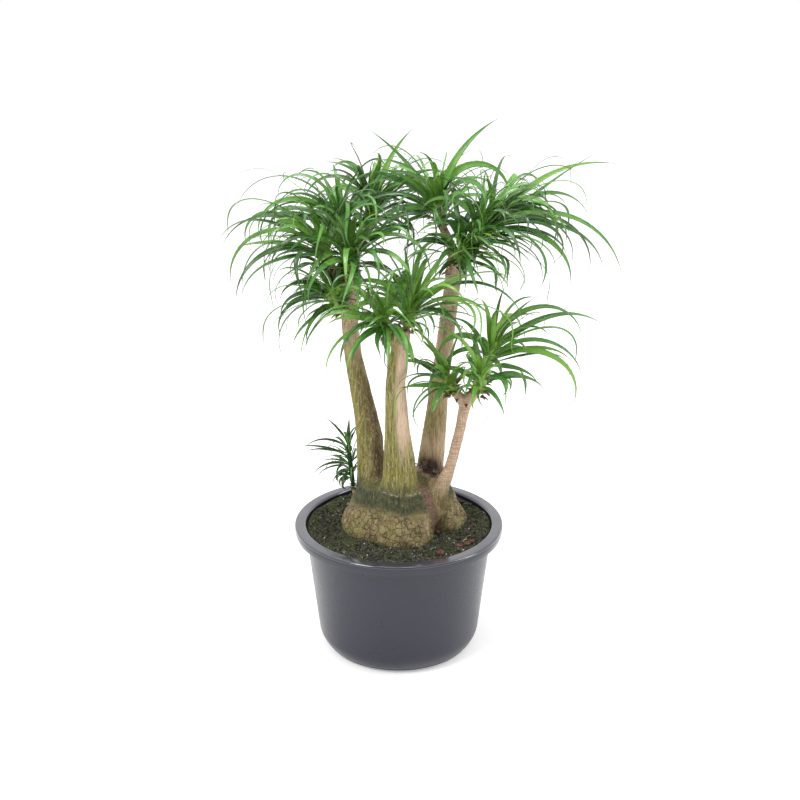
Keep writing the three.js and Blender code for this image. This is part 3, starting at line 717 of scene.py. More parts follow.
def bark_zones(mesh):
    """Stores where the bark is plated, mossy, brown, pink, ringed or dirty, where its hollow is
    blackened, and where shade is painted in its crevices.
    """
    points = points_of(mesh) / MM
    x, y, z = points.T
    owner, reach, right = nearest_stem(points)
    left_stem, middle_stem, right_stem, front_stem = range(len(STEMS))
    wave = 4 * np.sin(x / 17 + 0.8) + 3 * np.sin(x / 7.3 + y / 11)
    zones = {name: np.zeros(len(points)) for name in ZONES}

    def below(low, high, waves=0.0):
        return 1 - ease(z + waves * wave, low, high)

    def paint(zone, stem, amount):
        mine = owner == stem
        zones[zone][mine] = np.clip(amount, 0, 1)[mine]

    paint("green", left_stem, ease(wave / 20 - right, -0.3, 0.6) * below(520, 690))
    paint("brown", left_stem, ease(right + wave / 20, -0.5, 0.7) * below(470, 620) * 0.9)
    paint("pink", left_stem, ease(z, 540, 660))
    edge = right + wave / 30
    shaded = 0.9 * ease(-edge, -0.2, 0.6) * below(560, 650)
    paint("green", middle_stem, below(370, 470, 3) + shaded)
    paint("pink", middle_stem, ease(z + 3 * wave, 390, 500) * ease(edge, -0.45, 0.4))
    shaded = ease(-edge, -0.8, 0.2) * below(500, 610)
    paint("green", right_stem, 0.5 * ease(z, 400, 440) * shaded)
    paint("brown", right_stem, 0.8 * below(356, 388, 1) + 0.08)
    paint("pink", right_stem, 0.25 + 0.75 * ease(z, 450, 580) + 0.35 * below(400, 440, 1))
    paint("pink", front_stem, ease(z + 2 * wave, 300, 372))
    paint("brown", front_stem, 0.5 * below(300, 350, 1))
    paint("ringed", front_stem, ease(z, 300, 330))
    for stem in (left_stem, middle_stem, right_stem):
        paint("ringed", stem, ease(z, 590, 650))
    across = 1 - ease(np.abs(x - 2), 34, 42)
    seam = np.exp(-(((z - 334 + 0.12 * wave) / 1.5) ** 2))
    paint("crust", middle_stem, seam * (y < -30) * across)

    slim = (owner == front_stem) * (1 - ease(reach, 1.1, 1.7))
    sunk = np.empty(len(points), np.float32)
    mesh.attributes["sunk"].data.foreach_get("value", sunk)
    zones |= {
        "on_base": below(326, 340, 0.5) * (1 - slim) + below(276, 306, 1) * slim,
        "plated": below(285, 309, 0.6),
        "red_dirt": 1 - ease(near_line(points, CREASE) + wave, 0, 17),
        "blackened_hollow": 1 - ease(near_line(points, CAVITY) + 0.8 * wave, 2, 17),
        # Painted shade in the crevices low on the bark, where the surface is sunk
        "crevice_painted_shade": ease(sunk / MM, 0.25, 0.95) * below(296, 330) * 0.85,
    }
    for name, values in zones.items():
        point_data(mesh, name, values)


bark_mesh = bark_recipe().made_from(
    merged_copy("stems"),
    voxel=BARK_VOXEL,
    stem_smoothing=16,
    base_smoothing=2,
    ridge_depth=0.0042,
    plate_swell=0.0022,
    material=bark_finish(),
)
bark_zones(bark_mesh)
smooth_faces(bark_mesh)
piece("bark", bark_mesh, "bark", "stems")

# ---------------------------------------------------------------- soil

SOIL_TOP = 240
SOIL_EDGE = 249
SOIL_GAP = 0.3
SOIL_RINGS = 66
SOIL_SIDES = 300


def wall_inside(z):
    """The inner radius of the pot's wall at a height."""
    (low, foot), (high, top) = INNER_FOOT, INNER_TOP
    return low + (high - low) * (z - foot) / (top - foot)


def soil_height(x, y):
    """The height of the soil, level around the base, then wavy and banked up at the wall."""
    out = math.hypot(x, y)
    waves = 1.6 * math.sin(x / 23 + 1) * math.cos(y / 31) + 1.1 * math.sin((x + y) / 17 + 2)
    bank = (SOIL_EDGE - SOIL_TOP) * float(ease(out, 148, 176))
    return SOIL_TOP + bank + waves * float(ease(out, 120, 150))


def soil_mass():
    """The soil as one closed body, with a fine grid on top."""
    edge = wall_inside(SOIL_EDGE) - SOIL_GAP
    points, loose = [], []
    for ring in range(SOIL_RINGS + 1):
        radius = edge * ring / SOIL_RINGS
        drop = 2 * float(ease(radius, edge - 4, edge))
        for side in range(SOIL_SIDES if ring else 1):
            angle = 2 * math.pi * (side + 0.5 * (ring % 2)) / SOIL_SIDES
            height = soil_height(radius * math.cos(angle), radius * math.sin(angle))
            points.append(polar(radius, angle, height - drop))
            loose.append(1.0 if ring < SOIL_RINGS - 1 else 0.0)
    faces = []
    for side in range(SOIL_SIDES):
        after = (side + 1) % SOIL_SIDES
        faces.append((0, 1 + side, 1 + after))
        for ring in range(1, SOIL_RINGS):
            low, high = 1 + (ring - 1) * SOIL_SIDES, 1 + ring * SOIL_SIDES
            a, b, c, d = low + side, low + after, high + side, high + after
            faces += [(a, c, b), (b, c, d)] if ring % 2 else [(a, c, d), (a, d, b)]
    first = 1 + (SOIL_RINGS - 1) * SOIL_SIDES
    bottom = FLOOR_TOP + SOIL_GAP
    for radius, z in ((INNER_FOOT[0] - SOIL_GAP, INNER_FOOT[1]), (FLOOR_EDGE[0] - 0.2, bottom)):
        start = len(points)
        for side in range(SOIL_SIDES):
            after = (side + 1) % SOIL_SIDES
            angle = 2 * math.pi * (side + 0.5 * (SOIL_RINGS % 2)) / SOIL_SIDES
            points.append(polar(radius, angle, z))
            faces.append((first + side, start + side, start + after, first + after))
        first = start
    for side in range(SOIL_SIDES):
        faces.append((first + (side + 1) % SOIL_SIDES, first + side, len(points)))
    points.append((0, 0, bottom * MM))
    made = mesh_of("soil_mass", points, faces)
    point_data(made, "loose", loose + [0.0] * (len(points) - len(loose)))
    return made


def soil_finish():
    soil = finish("soil", roughness=0.95, specular_ior_level=0.15)
    clods = noise(soil.place, 120, 5, 0.7)
    ground = blend(spread(clods, 0.35, 0.65), (0.008, 0.008, 0.006), (0.085, 0.080, 0.058))
    tufts = spread(noise(soil.place, 420, 2), 0.35, 0.65)
    moss = blend(tufts, (0.024, 0.036, 0.013), (0.12, 0.14, 0.055))
    mossy = spread(noise(soil.place, 15, 4, 0.65), 0.46, 0.64, 0, 0.8)
    soil.wire("Base Color", blend(mossy, ground, moss))
    soil.relief(clods, 0.004, 0.9)
    return soil.material


def soil_recipe():
    """Raises clods on a mesh where its attribute `loose` is 1."""
    made = Recipe("soil", clod_height="Float")
    coarse = noise(made.at, 38, 5, 0.65) - 0.5
    lift = coarse * made.given.clod_height * read(made.tree, "loose")
    return made.ended(moved(made.given.geometry, Offset=joined(made.tree, Z=lift)))


soil_mesh = soil_recipe().made_from(soil_mass(), clod_height=0.014, material=soil_finish())
smooth_faces(soil_mesh)
piece("soil_mass", soil_mesh, "soil", "soil")


def scatter_recipe():
    """Rough grains that lie about on a surface, where its attribute `loose` is 1."""
    made = Recipe(
        "grains", grains_per_square_metre="Float", least_distance="Float", smallest="Float",
        largest="Float", flatness="Float", seed="Int", patch_share="Float",
    )
    tree, given = made.tree, made.given
    patchy = maths("LESS_THAN", noise(made.at, 16, 2), given.patch_share)
    inputs = {
        "Mesh": given.geometry,
        "Distance Min": given.least_distance,
        "Density Max": given.grains_per_square_metre,
        "Density Factor": maths("GREATER_THAN", read(tree, "loose"), 0.5) * patchy,
        "Seed": given.seed,
    }
    points = output(
        tree, "GeometryNodeDistributePointsOnFaces", inputs, "Points", distribute_method="POISSON"
    )
    ball = output(tree, "GeometryNodeMeshIcoSphere", {"Radius": 1.0, "Subdivisions": 2})
    lumpy = noise(made.at, 1.7, 2) * 0.9 + 0.55
    inputs = {"Min": (0, 0, 0), "Max": (6.28, 6.28, 6.28), "Seed": given.seed}
    turn = output(tree, "FunctionNodeRandomValue", inputs, data_type="FLOAT_VECTOR")
    inputs = {2: given.smallest, 3: given.largest, "Seed": given.seed}
    size = output(tree, "FunctionNodeRandomValue", inputs, 1, data_type="FLOAT")
    inputs = {
        "Points": points,
        "Instance": moved(ball, Position=vectors("SCALE", made.at, lumpy)),
        "Rotation": turn,
        "Scale": joined(tree, X=size, Y=size, Z=size * given.flatness),
    }
    return made.ended(output(tree, "GeometryNodeInstanceOnPoints", inputs))


GRAINS = scatter_recipe()


def plain_finish(name, dark, light, scale, roughness=0.9, depth=0.0008):
    """Two colours mixed in patches, with a rough grain."""
    made = finish(name, roughness=roughness, specular_ior_level=0.2)
    patch = noise(made.place, scale, 4, 0.65)
    made.wire("Base Color", blend(spread(patch, 0.35, 0.65), dark, light))
    made.relief(noise(made.place, scale * 4, 3, 0.7), depth, 0.7)
    return made.material


crumb_earth = plain_finish("crumb_earth", (0.012, 0.012, 0.009), (0.13, 0.125, 0.098), 160)
moss_green = plain_finish("moss_green", (0.020, 0.033, 0.012), (0.12, 0.145, 0.055), 300)
perlite_white = plain_finish("perlite_white", (0.20, 0.21, 0.18), (0.72, 0.74, 0.70), 300)
bark_chip = plain_finish("bark_chip", (0.035, 0.026, 0.018), (0.20, 0.15, 0.10), 220)

GRAIN_KEYS = (
    "material", "grains_per_square_metre", "least_distance", "smallest", "largest", "flatness",
    "seed", "patch_share",
)
for name, *grains in (
    ("soil_crumbs", crumb_earth, 22000, 0.0030, 0.0010, 0.0036, 0.8, 3, 0.70),
    ("moss_tufts", moss_green, 34000, 0.0024, 0.0008, 0.0024, 0.9, 8, 0.50),
    ("perlite", perlite_white, 1500, 0.008, 0.0010, 0.0028, 0.5, 21, 0.52),
    ("bark_chips", bark_chip, 2400, 0.007, 0.0012, 0.0038, 0.4, 34, 0.60),
):
    made = GRAINS.made_from(soil_mesh.copy(), **dict(zip(GRAIN_KEYS, grains)))
    smooth_faces(made)
    piece(name, made, "soil")

# ---------------------------------------------------------------- leaves


@dataclass
class Head:
    """A head of leaves.

    Marked leaves give heading and rise in degrees, length, bend and sometimes roll in radians.
    """

    name: str
    seat: tuple
    lean: tuple
    leaves: int
    length: float
    marked: list
    core: float = 46
    core_radius: float = 12.5
    width: float = 16
    more: int = 28
    # How far a head's leaves are painted lighter and yellower: partly their own fresher colour, partly
    # painted light.
    bright: float = 0.2

    def frame(self):
        axis = np.array(self.lean, float)
        axis /= np.linalg.norm(axis)
        across = np.cross((0, 1, 0), axis)
        across /= np.linalg.norm(across)
        return axis, across, np.cross(axis, across)

    def around(self, open_, turn):
        """The direction that leans from the head's axis by one angle, turned about it by another."""
        axis, across, other = self.frame()
        sideways = across * math.cos(turn) + other * math.sin(turn)
        return axis * math.cos(open_) + sideways * math.sin(open_)

    def up(self, height):
        """The place at a height above the head's seat, along its axis."""
        return np.array(self.seat, float) + self.frame()[0] * height

    def foot(self, share, start):
        """Where a leaf leaves the head's short stem, at a share of its height."""
        axis = self.frame()[0]
        off = start - axis * (start @ axis)
        return self.up(share * self.core) + off / np.linalg.norm(off) * 0.42 * self.core_radius


HEADS = [
    Head("left_outer", seat=(-126, -6, 770), lean=(-0.4, -0.2, 0.86), leaves=21,
         length=185, bright=0.3, marked=[
             (180, 62, 230, 2.4, -0.6), (185, 26, 160, 0.8, -0.9), (186, 55, 235, 2.6),
             (196, 10, 185, 1.1, -0.5), (204, 30, 220, 2.1, -0.8), (160, 70, 170, 1.9, -0.6),
             (220, 66, 160, 2.2, -0.8), (150, 38, 190, 2.2), (-70, 60, 150, 2.3)]),
    Head("left_upper", seat=(-104, 60, 796), lean=(-0.2, 0.1, 0.95), leaves=20,
         length=170, marked=[
             (174, 75, 270, 2.7), (192, 62, 215, 2.6), (160, 40, 200, 1.6, -0.6),
             (10, 74, 150, 2.2, 0.8), (200, 80, 130, 1.6, -0.8), (-60, 72, 140, 2.2, 0.4)]),
    Head("left_front", seat=(-88, -12, 756), lean=(0.15, -0.4, 0.88), leaves=20,
         length=165, marked=[
             (-24, 58, 215, 2.5, 0.6), (-95, 52, 170, 2.5), (-38, 40, 185, 2.1, 0.5),
             (-70, 24, 155, 1.5), (-150, 62, 160, 2.2, -0.6), (10, 72, 150, 1.2, 0.8),
             (-125, 40, 150, 2, -0.4)]),
    Head("left_lower", seat=(-108, 20, 680), lean=(-0.45, -0.35, 0.75), leaves=14,
         length=120, marked=[
             (182, 22, 160, 2.2, -0.6), (184, 10, 205, 2.6), (178, 34, 135, 2.1, -0.9),
             (205, -15, 120, 0.8), (190, 56, 120, 1.9, -0.6)]),
    Head("top_back", seat=(-54, 100, 820), lean=(0.12, 0.02, 0.98), leaves=22,
         length=165, marked=[
             (180, 76, 175, 2.7, -0.6), (12, 80, 165, 0.6, 0.8), (175, 60, 175, 2.8, -0.5),
             (8, 60, 165, 1.2, 1), (185, 82, 140, 1.8, -0.9), (0, 48, 165, 1.6, 0.9),
             (215, 70, 150, 2.6, -0.8), (-30, 74, 150, 2.4, 0.6), (-70, 78, 120, 1.2)]),
    Head("top_middle", seat=(78, 50, 834), lean=(-0.18, -0.1, 0.96), leaves=22,
         length=160, bright=0.35, marked=[
             (182, 58, 185, 1.9, -1.1), (172, 66, 190, 0.6, -0.9), (10, 84, 215, 3.3, 0.9),
             (-12, 74, 170, 2.9, 0.5), (0, 87, 190, 0.9, 0.8), (190, 48, 135, 0.6, -1.2),
             (176, 36, 130, 0.9, -1.2), (168, 76, 150, 1.1, -0.6), (188, 14, 140, 1.3, -0.7),
             (-80, 66, 140, 2.7, 0), (-5, 44, 160, 2.2, 0.8), (204, 62, 130, 0.9, -0.9),
             (183, 28, 150, 1.6, -1)]),
    Head("right_inner", seat=(137, 2, 798), lean=(0.35, -0.25, 0.9), leaves=20,
         length=150, marked=[
             (-90, 84, 120, 0.3), (10, 82, 195, 2.6, 0.6), (-6, 44, 240, 2.4, 0.8),
             (-60, 40, 165, 2), (5, 62, 125, 0.6, 0.9), (-8, 50, 130, 0.7, 1),
             (-35, 22, 120, 0.9, 0.5), (190, 40, 130, 1.5, -0.8), (170, 74, 150, 2.2, -0.8)]),
    Head("right_outer", seat=(164, 77, 804), lean=(0.5, 0.07, 0.85), leaves=22,
         length=180, bright=0.45, more=34, marked=[
             (5, 57, 265, 1.2, 0.7), (0, 40, 250, 0.1, 0.6), (2, 29, 305, 1.9, 0.5),
             (-8, 20, 255, 1.4, 0.8), (-13, 32, 255, 2.1, 0.3), (-16, 50, 180, 2.7, 0.9),
             (9, 54, 235, 1.9, 0.6), (60, 45, 200, 2.1), (-4, 10, 215, 1.7, 0.9),
             (-30, 66, 190, 2.9, 0.6)]),
    Head("right_front", seat=(108, 8, 772), lean=(0.25, -0.6, 0.7), leaves=15,
         length=135, marked=[
             (-20, 40, 150, 1.6), (-36, 35, 160, 1.8), (-120, 30, 130, 1.6),
             (190, 40, 120, 1.4)]),
    Head("middle_upper", seat=(15, -50, 664), lean=(0.25, -0.12, 0.95), leaves=23,
         length=170, bright=1, marked=[
             (0, 42, 190, 2.1, 0.8), (1, 52, 290, 2.6, 0.4), (-30, 34, 150, 2.3, 0.6),
             (15, 70, 165, 0.6, 0.9), (100, 70, 150, 0.9), (-4, 60, 150, 1.1, 1),
             (182, 66, 150, 1.9, -0.8), (-70, 68, 140, 1.8), (188, 42, 150, 2, -0.9)]),
    Head("middle_front", seat=(-19, -86, 664), lean=(-0.25, -0.6, 0.72), leaves=18,
         length=120, more=20, bright=0.5, marked=[
             (205, 12, 185, 2.2, -0.4), (-85, 22, 145, 1.9), (-125, 14, 145, 1.7, -0.5),
             (184, 26, 105, 0.8, -0.9), (-132, 28, 150, 2.1, -0.3), (-58, 8, 120, 1.3, 0.6),
             (150, 66, 130, 1.5, -0.5)]),
    Head("front_left", seat=(102, -31, 532), lean=(-0.4, -0.12, 0.88), leaves=17,
         length=110, more=11, bright=0.7, marked=[
             (172, 40, 130, 0.4, -0.7), (186, 16, 95, 0.1, -0.9), (184, 14, 165, 3.2),
             (205, 2, 110, 1.4), (150, 76, 110, 0.8, -0.8), (185, 60, 115, 1.3, -1)]),
    Head("front_middle", seat=(146, -52, 540), lean=(0.15, -0.35, 0.9), leaves=13,
         length=100, bright=1, more=8, marked=[
             (178, 80, 150, 1.4, -0.7), (-5, 26, 130, 1.1, 0.9), (-55, 4, 90, 1.4, 0.4),
             (-110, 50, 105, 2)]),
    Head("front_right", seat=(154, -12, 545), lean=(0.3, 0.08, 0.95), leaves=24,
         length=135, core=92, core_radius=10.5, bright=1.1, more=10, marked=[
             (5, 75, 245, 2.7, 0.6), (8, 50, 240, 1.3, 0.5), (-2, 46, 225, 2.2, 0.8),
             (-15, 10, 105, 0.8, 0.9), (-5, 32, 235, 2.2, 0.6), (180, 60, 140, 2.7, -0.7),
             (60, 84, 120, 0.5), (190, 42, 120, 2.5, -0.6), (5, 28, 165, 0.9, 0.9),
             (12, 72, 130, 0.7, 1), (-90, 80, 105, 0.7)]),
    Head("young_shoot", seat=(-92, 66, 300), lean=(-0.1, 0.04, 0.99), leaves=16,
         length=70, core=100, core_radius=5, width=7, more=24, bright=-0.3,
         marked=[
             (180, 30, 75, 1.2), (190, 20, 80, 1.4), (170, 55, 70, 1.4), (200, 45, 70, 1.6)]),
]
LEAF_STEPS = 20
GOLDEN = 2.399963
ATTEMPTS = 14
MORE_ATTEMPTS = 8
# Seeds of what is drawn here alone, far from each other and from the solids' seeds
HOOK_SEED, MORE_SEED, HUSK_SEED, COLLAR_SEED = 8800003, 7000003, 9100003, 5200003
FIBRE_SEED, STRAW_SEED = 3300003, 6400003
SAME_TIP = 0.1
# Half the width of a leaf's tip
THINNEST = 0.3
# Share of a leaf's length from which its tip winds down
HOOK_START = 0.55
# A leaf that comes this near to a side of the solids' box keeps its form
OUTERMOST = 22
# What an added leaf may rise above its foot, and how far it keeps from what is around it
MOST_RISE = 110
BOX_GAP = 2
POT_GAP = 6
WOOD_GAP = 3


@dataclass
class Leaf:
    """The middle line of a leaf, its sideways direction and its half width, in millimetres."""

    at: np.ndarray
    side: np.ndarray
    half: np.ndarray
    age: float
    shade: float
    bright: float = 0


def draws(seed):
    """A function that gives a number from -0.5 to 0.5 for each number that it is handed."""
    return lambda k: chance(seed + k) - 0.5


def turned_about(vector, axis, angle):
    return (
        vector * math.cos(angle)
        + np.cross(axis, vector) * math.sin(angle)
        + axis * (axis @ vector) * (1 - math.cos(angle))
    )


def leaf_line(head, number, leaf, attempt):
    """The same middle line as the solid's leaf has: it arches over by its weight and drifts."""
    draw = draws(number * 100003 + leaf * 1009 + attempt * 31)
    roll = 1.5 * draw(8)
    marked = leaf < len(head.marked)
    if marked:
        heading, rise, length, bend, *rolled = head.marked[leaf]
        height = 0.3 + 0.5 * rise / 90
        heading = math.radians(heading) + 0.05 * attempt * draw(0)
        rise = math.radians(rise) + 0.04 * attempt * draw(1)
        bend += 0.04 * attempt * draw(3)
        roll = rolled[0] if rolled else roll
        start = np.array([math.cos(heading), math.sin(heading), 0])
        age = 0.75 - 0.4 * rise
    else:
        age = (leaf - len(head.marked) + 0.5) / (head.leaves - len(head.marked))
        turn = leaf * GOLDEN + number + draw(0) * (0.5 + 0.09 * attempt)
        start = head.around(0.14 + 1.05 * age + draw(1) * (0.3 + 0.04 * attempt), turn)
        length = head.length * (0.42 + 0.62 * math.sin(2.8 * min(1, 0.12 + age)))
        length *= 1 + 0.5 * draw(2)
        rise, heading = rise_and_heading(start)
        bend = (rise + 1.1 + 1.3 * draw(3)) * (0.5 + 0.5 * min(1, age * 2.6))
        height = 0.9 - 0.78 * age
    return arched(
        head.foot(height, start), rise, heading, length, bend, head.width * (0.9 + 0.4 * draw(6)),
        late=1.1 if marked else 1.35, swirl=draw(4) * (0.5 if marked else 1.9), roll=roll,
        twist=draw(5) * 1.4, age=age, shade=draw(7) + 0.5,
    )


def rise_and_heading(way, steepest=0.98):
    """The angle at which a direction rises, kept off the vertical, and its heading."""
    return math.asin(min(steepest, max(-steepest, way[2]))), math.atan2(way[1], way[0])


def arched(
    at, rise, heading, length, bend, wide,
    late=1.35, swirl=0, roll=0, twist=0, curl=0, age=0.9, shade=0.5, steps=LEAF_STEPS,
):
    """A leaf that starts at a point and bends down along its length; curl winds up its tip."""
    places, sides, halves = [], [], []
    at = at.copy()
    for step in range(steps + 1):
        t = step / steps
        wound = curl * max(0.0, 2 * t - 1) ** 1.5
        tilt = rise - bend * t**late - 0.5 * abs(wound)
        way = heading + swirl * t * t + wound
        along = np.array(
            [math.cos(tilt) * math.cos(way), math.cos(tilt) * math.sin(way), math.sin(tilt)]
        )
        side = np.array([-math.sin(way), math.cos(way), 0])
        places.append(at.copy())
        sides.append(turned_about(side, along, roll * min(1, 3 * t) + twist * t))
        width = min(1, 0.5 + 2.4 * t) * max(0.0, 1 - t**1.9) ** 1.2
        halves.append(max(0.5 * wide * width, THINNEST))
        at = at + along * length / steps
    return Leaf(np.array(places), np.array(sides), np.array(halves), age, shade)


def hooked(leaf, down, aside):
    """The leaf with its last part wound further down and aside, like a drying tip."""
    ways = np.diff(leaf.at, axis=0)
    level = np.array([-ways[0][1], ways[0][0], 0.0])
    level /= max(np.linalg.norm(level), 1e-6)
    steps = len(ways)
    for step in range(steps):
        share = max(0.0, ((step + 1) / steps - HOOK_START) / (1 - HOOK_START)) ** 1.6
        for axis, angle in ((level, down), (np.array([0, 0, 1.0]), aside)):
            ways[step] = turned_about(ways[step], axis, angle * share)
            leaf.side[step + 1] = turned_about(leaf.side[step + 1], axis, angle * share)
    leaf.at[1:] = leaf.at[0] + np.cumsum(ways, axis=0)
    return leaf


def solid_leaves(head, number):
    """Each leaf of the solid, found by the attempt whose tip is a point of its mesh."""
    points = points_of(SOLIDS[head.name].data) / MM
    tips = kdtree.KDTree(len(points))
    for index, p in enumerate(points):
        tips.insert(p, index)
    tips.balance()
    found = []
    for leaf in range(head.leaves):
        for attempt in range(ATTEMPTS):
            line = leaf_line(head, number, leaf, attempt)
            if tips.find(line.at[-1])[2] < SAME_TIP:
                pull = chance(HOOK_SEED + number * 907 + leaf)
                bend = 0.0 if is_outermost(line) else 0.3 if leaf < len(head.marked) else 1.0
                found.append(hooked(line, 1.7 * pull * bend, 2.4 * (pull * 7 % 1 - 0.5) * bend))
                break
    return found


LOW, HIGH = (np.array(corner) / MM for corner in solid_box)
stem_faces = [tuple(face.vertices) for face in SOLIDS["stems"].data.polygons]
WOOD = BVHTree.FromPolygons([tuple(p) for p in points_of(SOLIDS["stems"].data)], stem_faces)


def is_outermost(leaf):
    """Whether a leaf is one of those that give the plant its width, depth and height."""
    past_low = leaf.at[:, :2] < LOW[:2] + OUTERMOST
    return bool((leaf.at > HIGH - OUTERMOST).any() or past_low.any())


def is_clear(leaf):
    """Whether a leaf keeps out of the stems and the pot and inside the plant's own reach."""
    if (leaf.at < LOW + BOX_GAP).any() or (leaf.at > HIGH - BOX_GAP).any():
        return False
    if leaf.at[:, 2].max() > leaf.at[0][2] + MOST_RISE:
        return False
    out = np.hypot(leaf.at[:, 0], leaf.at[:, 1])
    if ((leaf.at[:, 2] < POT_HEIGHT + POT_GAP) & (out < RIM_RADIUS + POT_GAP)).any():
        return False
    for a, b in zip(leaf.at[3:-1], leaf.at[4:]):
        way = (b - a) * MM
        reach = float(np.linalg.norm(way))
        if WOOD.ray_cast(tuple(a * MM), tuple(way / reach), reach + WOOD_GAP * MM)[0] is not None:
            return False
    return True


def more_leaves(head, number):
    """Finer leaves between the solid's: arched blades, and long thin strands that curl."""
    found = []
    for leaf in range(head.more):
        strand = leaf % 5 in (1, 3)
        for attempt in range(MORE_ATTEMPTS):
            draw = draws(MORE_SEED + number * 50021 + leaf * 613 + attempt * 37)
            age = (leaf + 0.5) / head.more
            turn = leaf * GOLDEN + 1.3 * number + draw(0)
            start = head.around(0.10 + 1.15 * age**0.9 + 0.35 * draw(1), turn)
            rise, heading = rise_and_heading(start)
            length = head.length * (0.5 + 0.72 * math.sin(2.8 * min(1, 0.1 + age)))
            length *= (1.45 if strand else 1) * (1 + 0.5 * draw(2))
            droop = 2.0 + 2.2 * draw(3) if strand else 1.6 + 1.5 * draw(3)
            line = arched(
                head.foot(0.95 - 0.84 * age, start), rise, heading, length,
                bend=(rise + droop) * (0.5 + 0.5 * min(1, age * 2.6)),
                wide=head.width * ((0.36 if strand else 0.82) + 0.3 * draw(6)),
                late=1.9 + 1.2 * draw(10), swirl=draw(4) * 2.4, roll=draw(9) * 1.6,
                twist=draw(5) * 2.4, curl=draw(8) * (9 if strand else 4.5),
                age=age, shade=draw(7) + 0.5, steps=30,
            )
            if is_clear(line):
                found.append(line)
                break
    return found


def leaf_recipe():
    """Sweeps a folded section along each leaf's middle line."""
    made = Recipe("leaves", fold="Float", thickness="Float", section_points="Int")
    tree, given = made.tree, made.given
    inputs = {"Resolution": given.section_points, "Radius": 1.0}
    ring = output(tree, "GeometryNodeCurvePrimitiveCircle", inputs, mode="RADIUS")
    across = part(made.at, "X")
    upward = maths("POWER", abs(across), 1.7) * given.fold + part(made.at, "Y") * given.thickness
    section = moved(ring, Position=joined(tree, X=across, Y=upward))
    lines = output(tree, "GeometryNodeMeshToCurve", {"Mesh": given.geometry})
    inputs = {"Curve": lines, "Normal": read(tree, "side", "FLOAT_VECTOR")}
    sided = output(tree, "GeometryNodeSetCurveNormal", inputs, mode="FREE")
    inputs = {
        "Curve": sided,
        "Profile Curve": stored(section, "across", across),
        "Scale": read(tree, "half"),
        "Fill Caps": True,
    }
    swept = output(tree, "GeometryNodeCurveToMesh", inputs)
    return made.ended(output(tree, "GeometryNodeSetShadeSmooth", {"Geometry": swept}))


LEAVES = leaf_recipe()


def leaf_mesh(leaves, material, fold=0.34, thick=0.085):
    """One mesh with a blade for every leaf line."""
    points, edges = [], []
    layers = {name: [] for name in ("side", "half", "along", "age", "shade", "bright")}
    for leaf in leaves:
        first, count = len(points), len(leaf.at)
        points += list(leaf.at * MM)
        edges += [(first + k, first + k + 1) for k in range(count - 1)]
        layers["side"] += list(leaf.side)
        layers["half"] += list(leaf.half * MM)
        layers["along"] += list(np.linspace(0, 1, count))
        for name in ("age", "shade", "bright"):
            layers[name] += [getattr(leaf, name)] * count
    lines = mesh_of("leaf_lines", points, edges=edges)
    for name, values in layers.items():
        point_data(lines, name, values)
    made = LEAVES.made_from(
        lines, fold=fold, thickness=thick, section_points=8, material=material
    )
    outward(made)
    smooth_faces(made)
    return made


def leaf_finish(name, deep, middle, young, tip):
    """Strap leaves: paler at the root and down the middle, with fine veins and a dry tip."""
    leaf = finish(name, roughness=0.3, specular_ior_level=0.5)
    along, across, age, shade, bright = (
        read(leaf.tree, layer) for layer in ("along", "across", "age", "shade", "bright")
    )
    cloud = noise(leaf.place, 30, 3, 0.6)
    # Each head's leaves lightened as a whole: partly their fresher colour, partly painted light.
    tone = shade + cloud + bright * 0.45
    body = blend(spread(tone, 0.55, 1.45), deep, middle)
    body = blend(spread(tone, 1.2, 1.8, 0, 0.5), body, young)
    youth = spread(age, 0.5, 0.0) * spread(along, 0.8, 0.0)
    youth = youth * spread(bright, -0.3, 1.0, 0.1, 1.0, "LINEAR")
    root = spread(along, 0.3, 0.0) * spread(age, 1.0, 0.1, 0.35, 0.85)
    body = blend(maths("MAXIMUM", youth, root), body, young)
    strands = joined(leaf.tree, X=across * 9.0, Y=along * 3.0, Z=shade * 40.0)
    veins = noise(strands, 1.6, 3, 0.6)
    body = blend(spread(veins, 0.45, 0.7, 0, 0.35), body, young)
    body = blend(spread(abs(across), 0.22, 0.0, 0, 0.25), body, young)
    body = blend(spread(along + shade * 0.14, 0.93, 1.08, 0, 0.9), body, tip)
    leaf.wire("Base Color", body)
    leaf.wire("Roughness", spread(cloud, 0.3, 0.7, 0.20, 0.34))
    leaf.relief(veins, 0.0004, 0.5)
    return leaf.material


green_leaf = leaf_finish(
    "green_leaf",
    (0.006, 0.037, 0.014), (0.062, 0.215, 0.044), (0.29, 0.54, 0.075), (0.11, 0.07, 0.03),
)
# Broad leaves of the young shoot: share of its height, heading and rise in degrees, length, bend, curl
SHOOT_LEAVES = [
    (0.98, 178, 58, 66, 0.3, 0), (0.99, -60, 88, 52, 0.2, 0), (0.96, 10, 66, 36, 0.4, 0),
    (0.80, 186, 46, 98, 1.5, 0.4), (0.62, 182, 34, 112, 0.8, -0.3), (0.70, 190, 18, 92, 0.3, 0.5),
    (0.44, 184, 26, 88, 1.5, 0.2), (0.30, 4, 74, 58, 0.9, 0.8), (0.50, -20, 62, 52, 1.6, 1),
    (0.30, 192, 44, 56, 3.6, 0), (0.22, 176, 62, 62, 4.6, 0.6), (0.16, 214, 34, 50, 4.2, 0.4),
    (0.24, 230, 52, 46, 3.2, -1), (0.12, 188, 66, 60, 5.2, -0.5), (0.10, -40, 40, 34, 2.6, 1),
    (0.36, 200, 8, 44, 1.4, 1.5),
]


def shoot_leaves(head):
    """The young shoot's broad leaves: the upper ones spread, the lowest wound into loops."""
    found = []
    for number, (share, heading, rise, length, bend, curl) in enumerate(SHOOT_LEAVES):
        heading = math.radians(heading)
        off = np.array([math.cos(heading), math.sin(heading), 0]) * 0.6 * head.core_radius
        found.append(arched(
            head.up(share * head.core) + off, math.radians(rise), heading, length, bend, 8.5,
            late=1, roll=-0.5, curl=curl, age=0.7, shade=0.1 + 0.05 * (number % 5), steps=30,
        ))
    return found


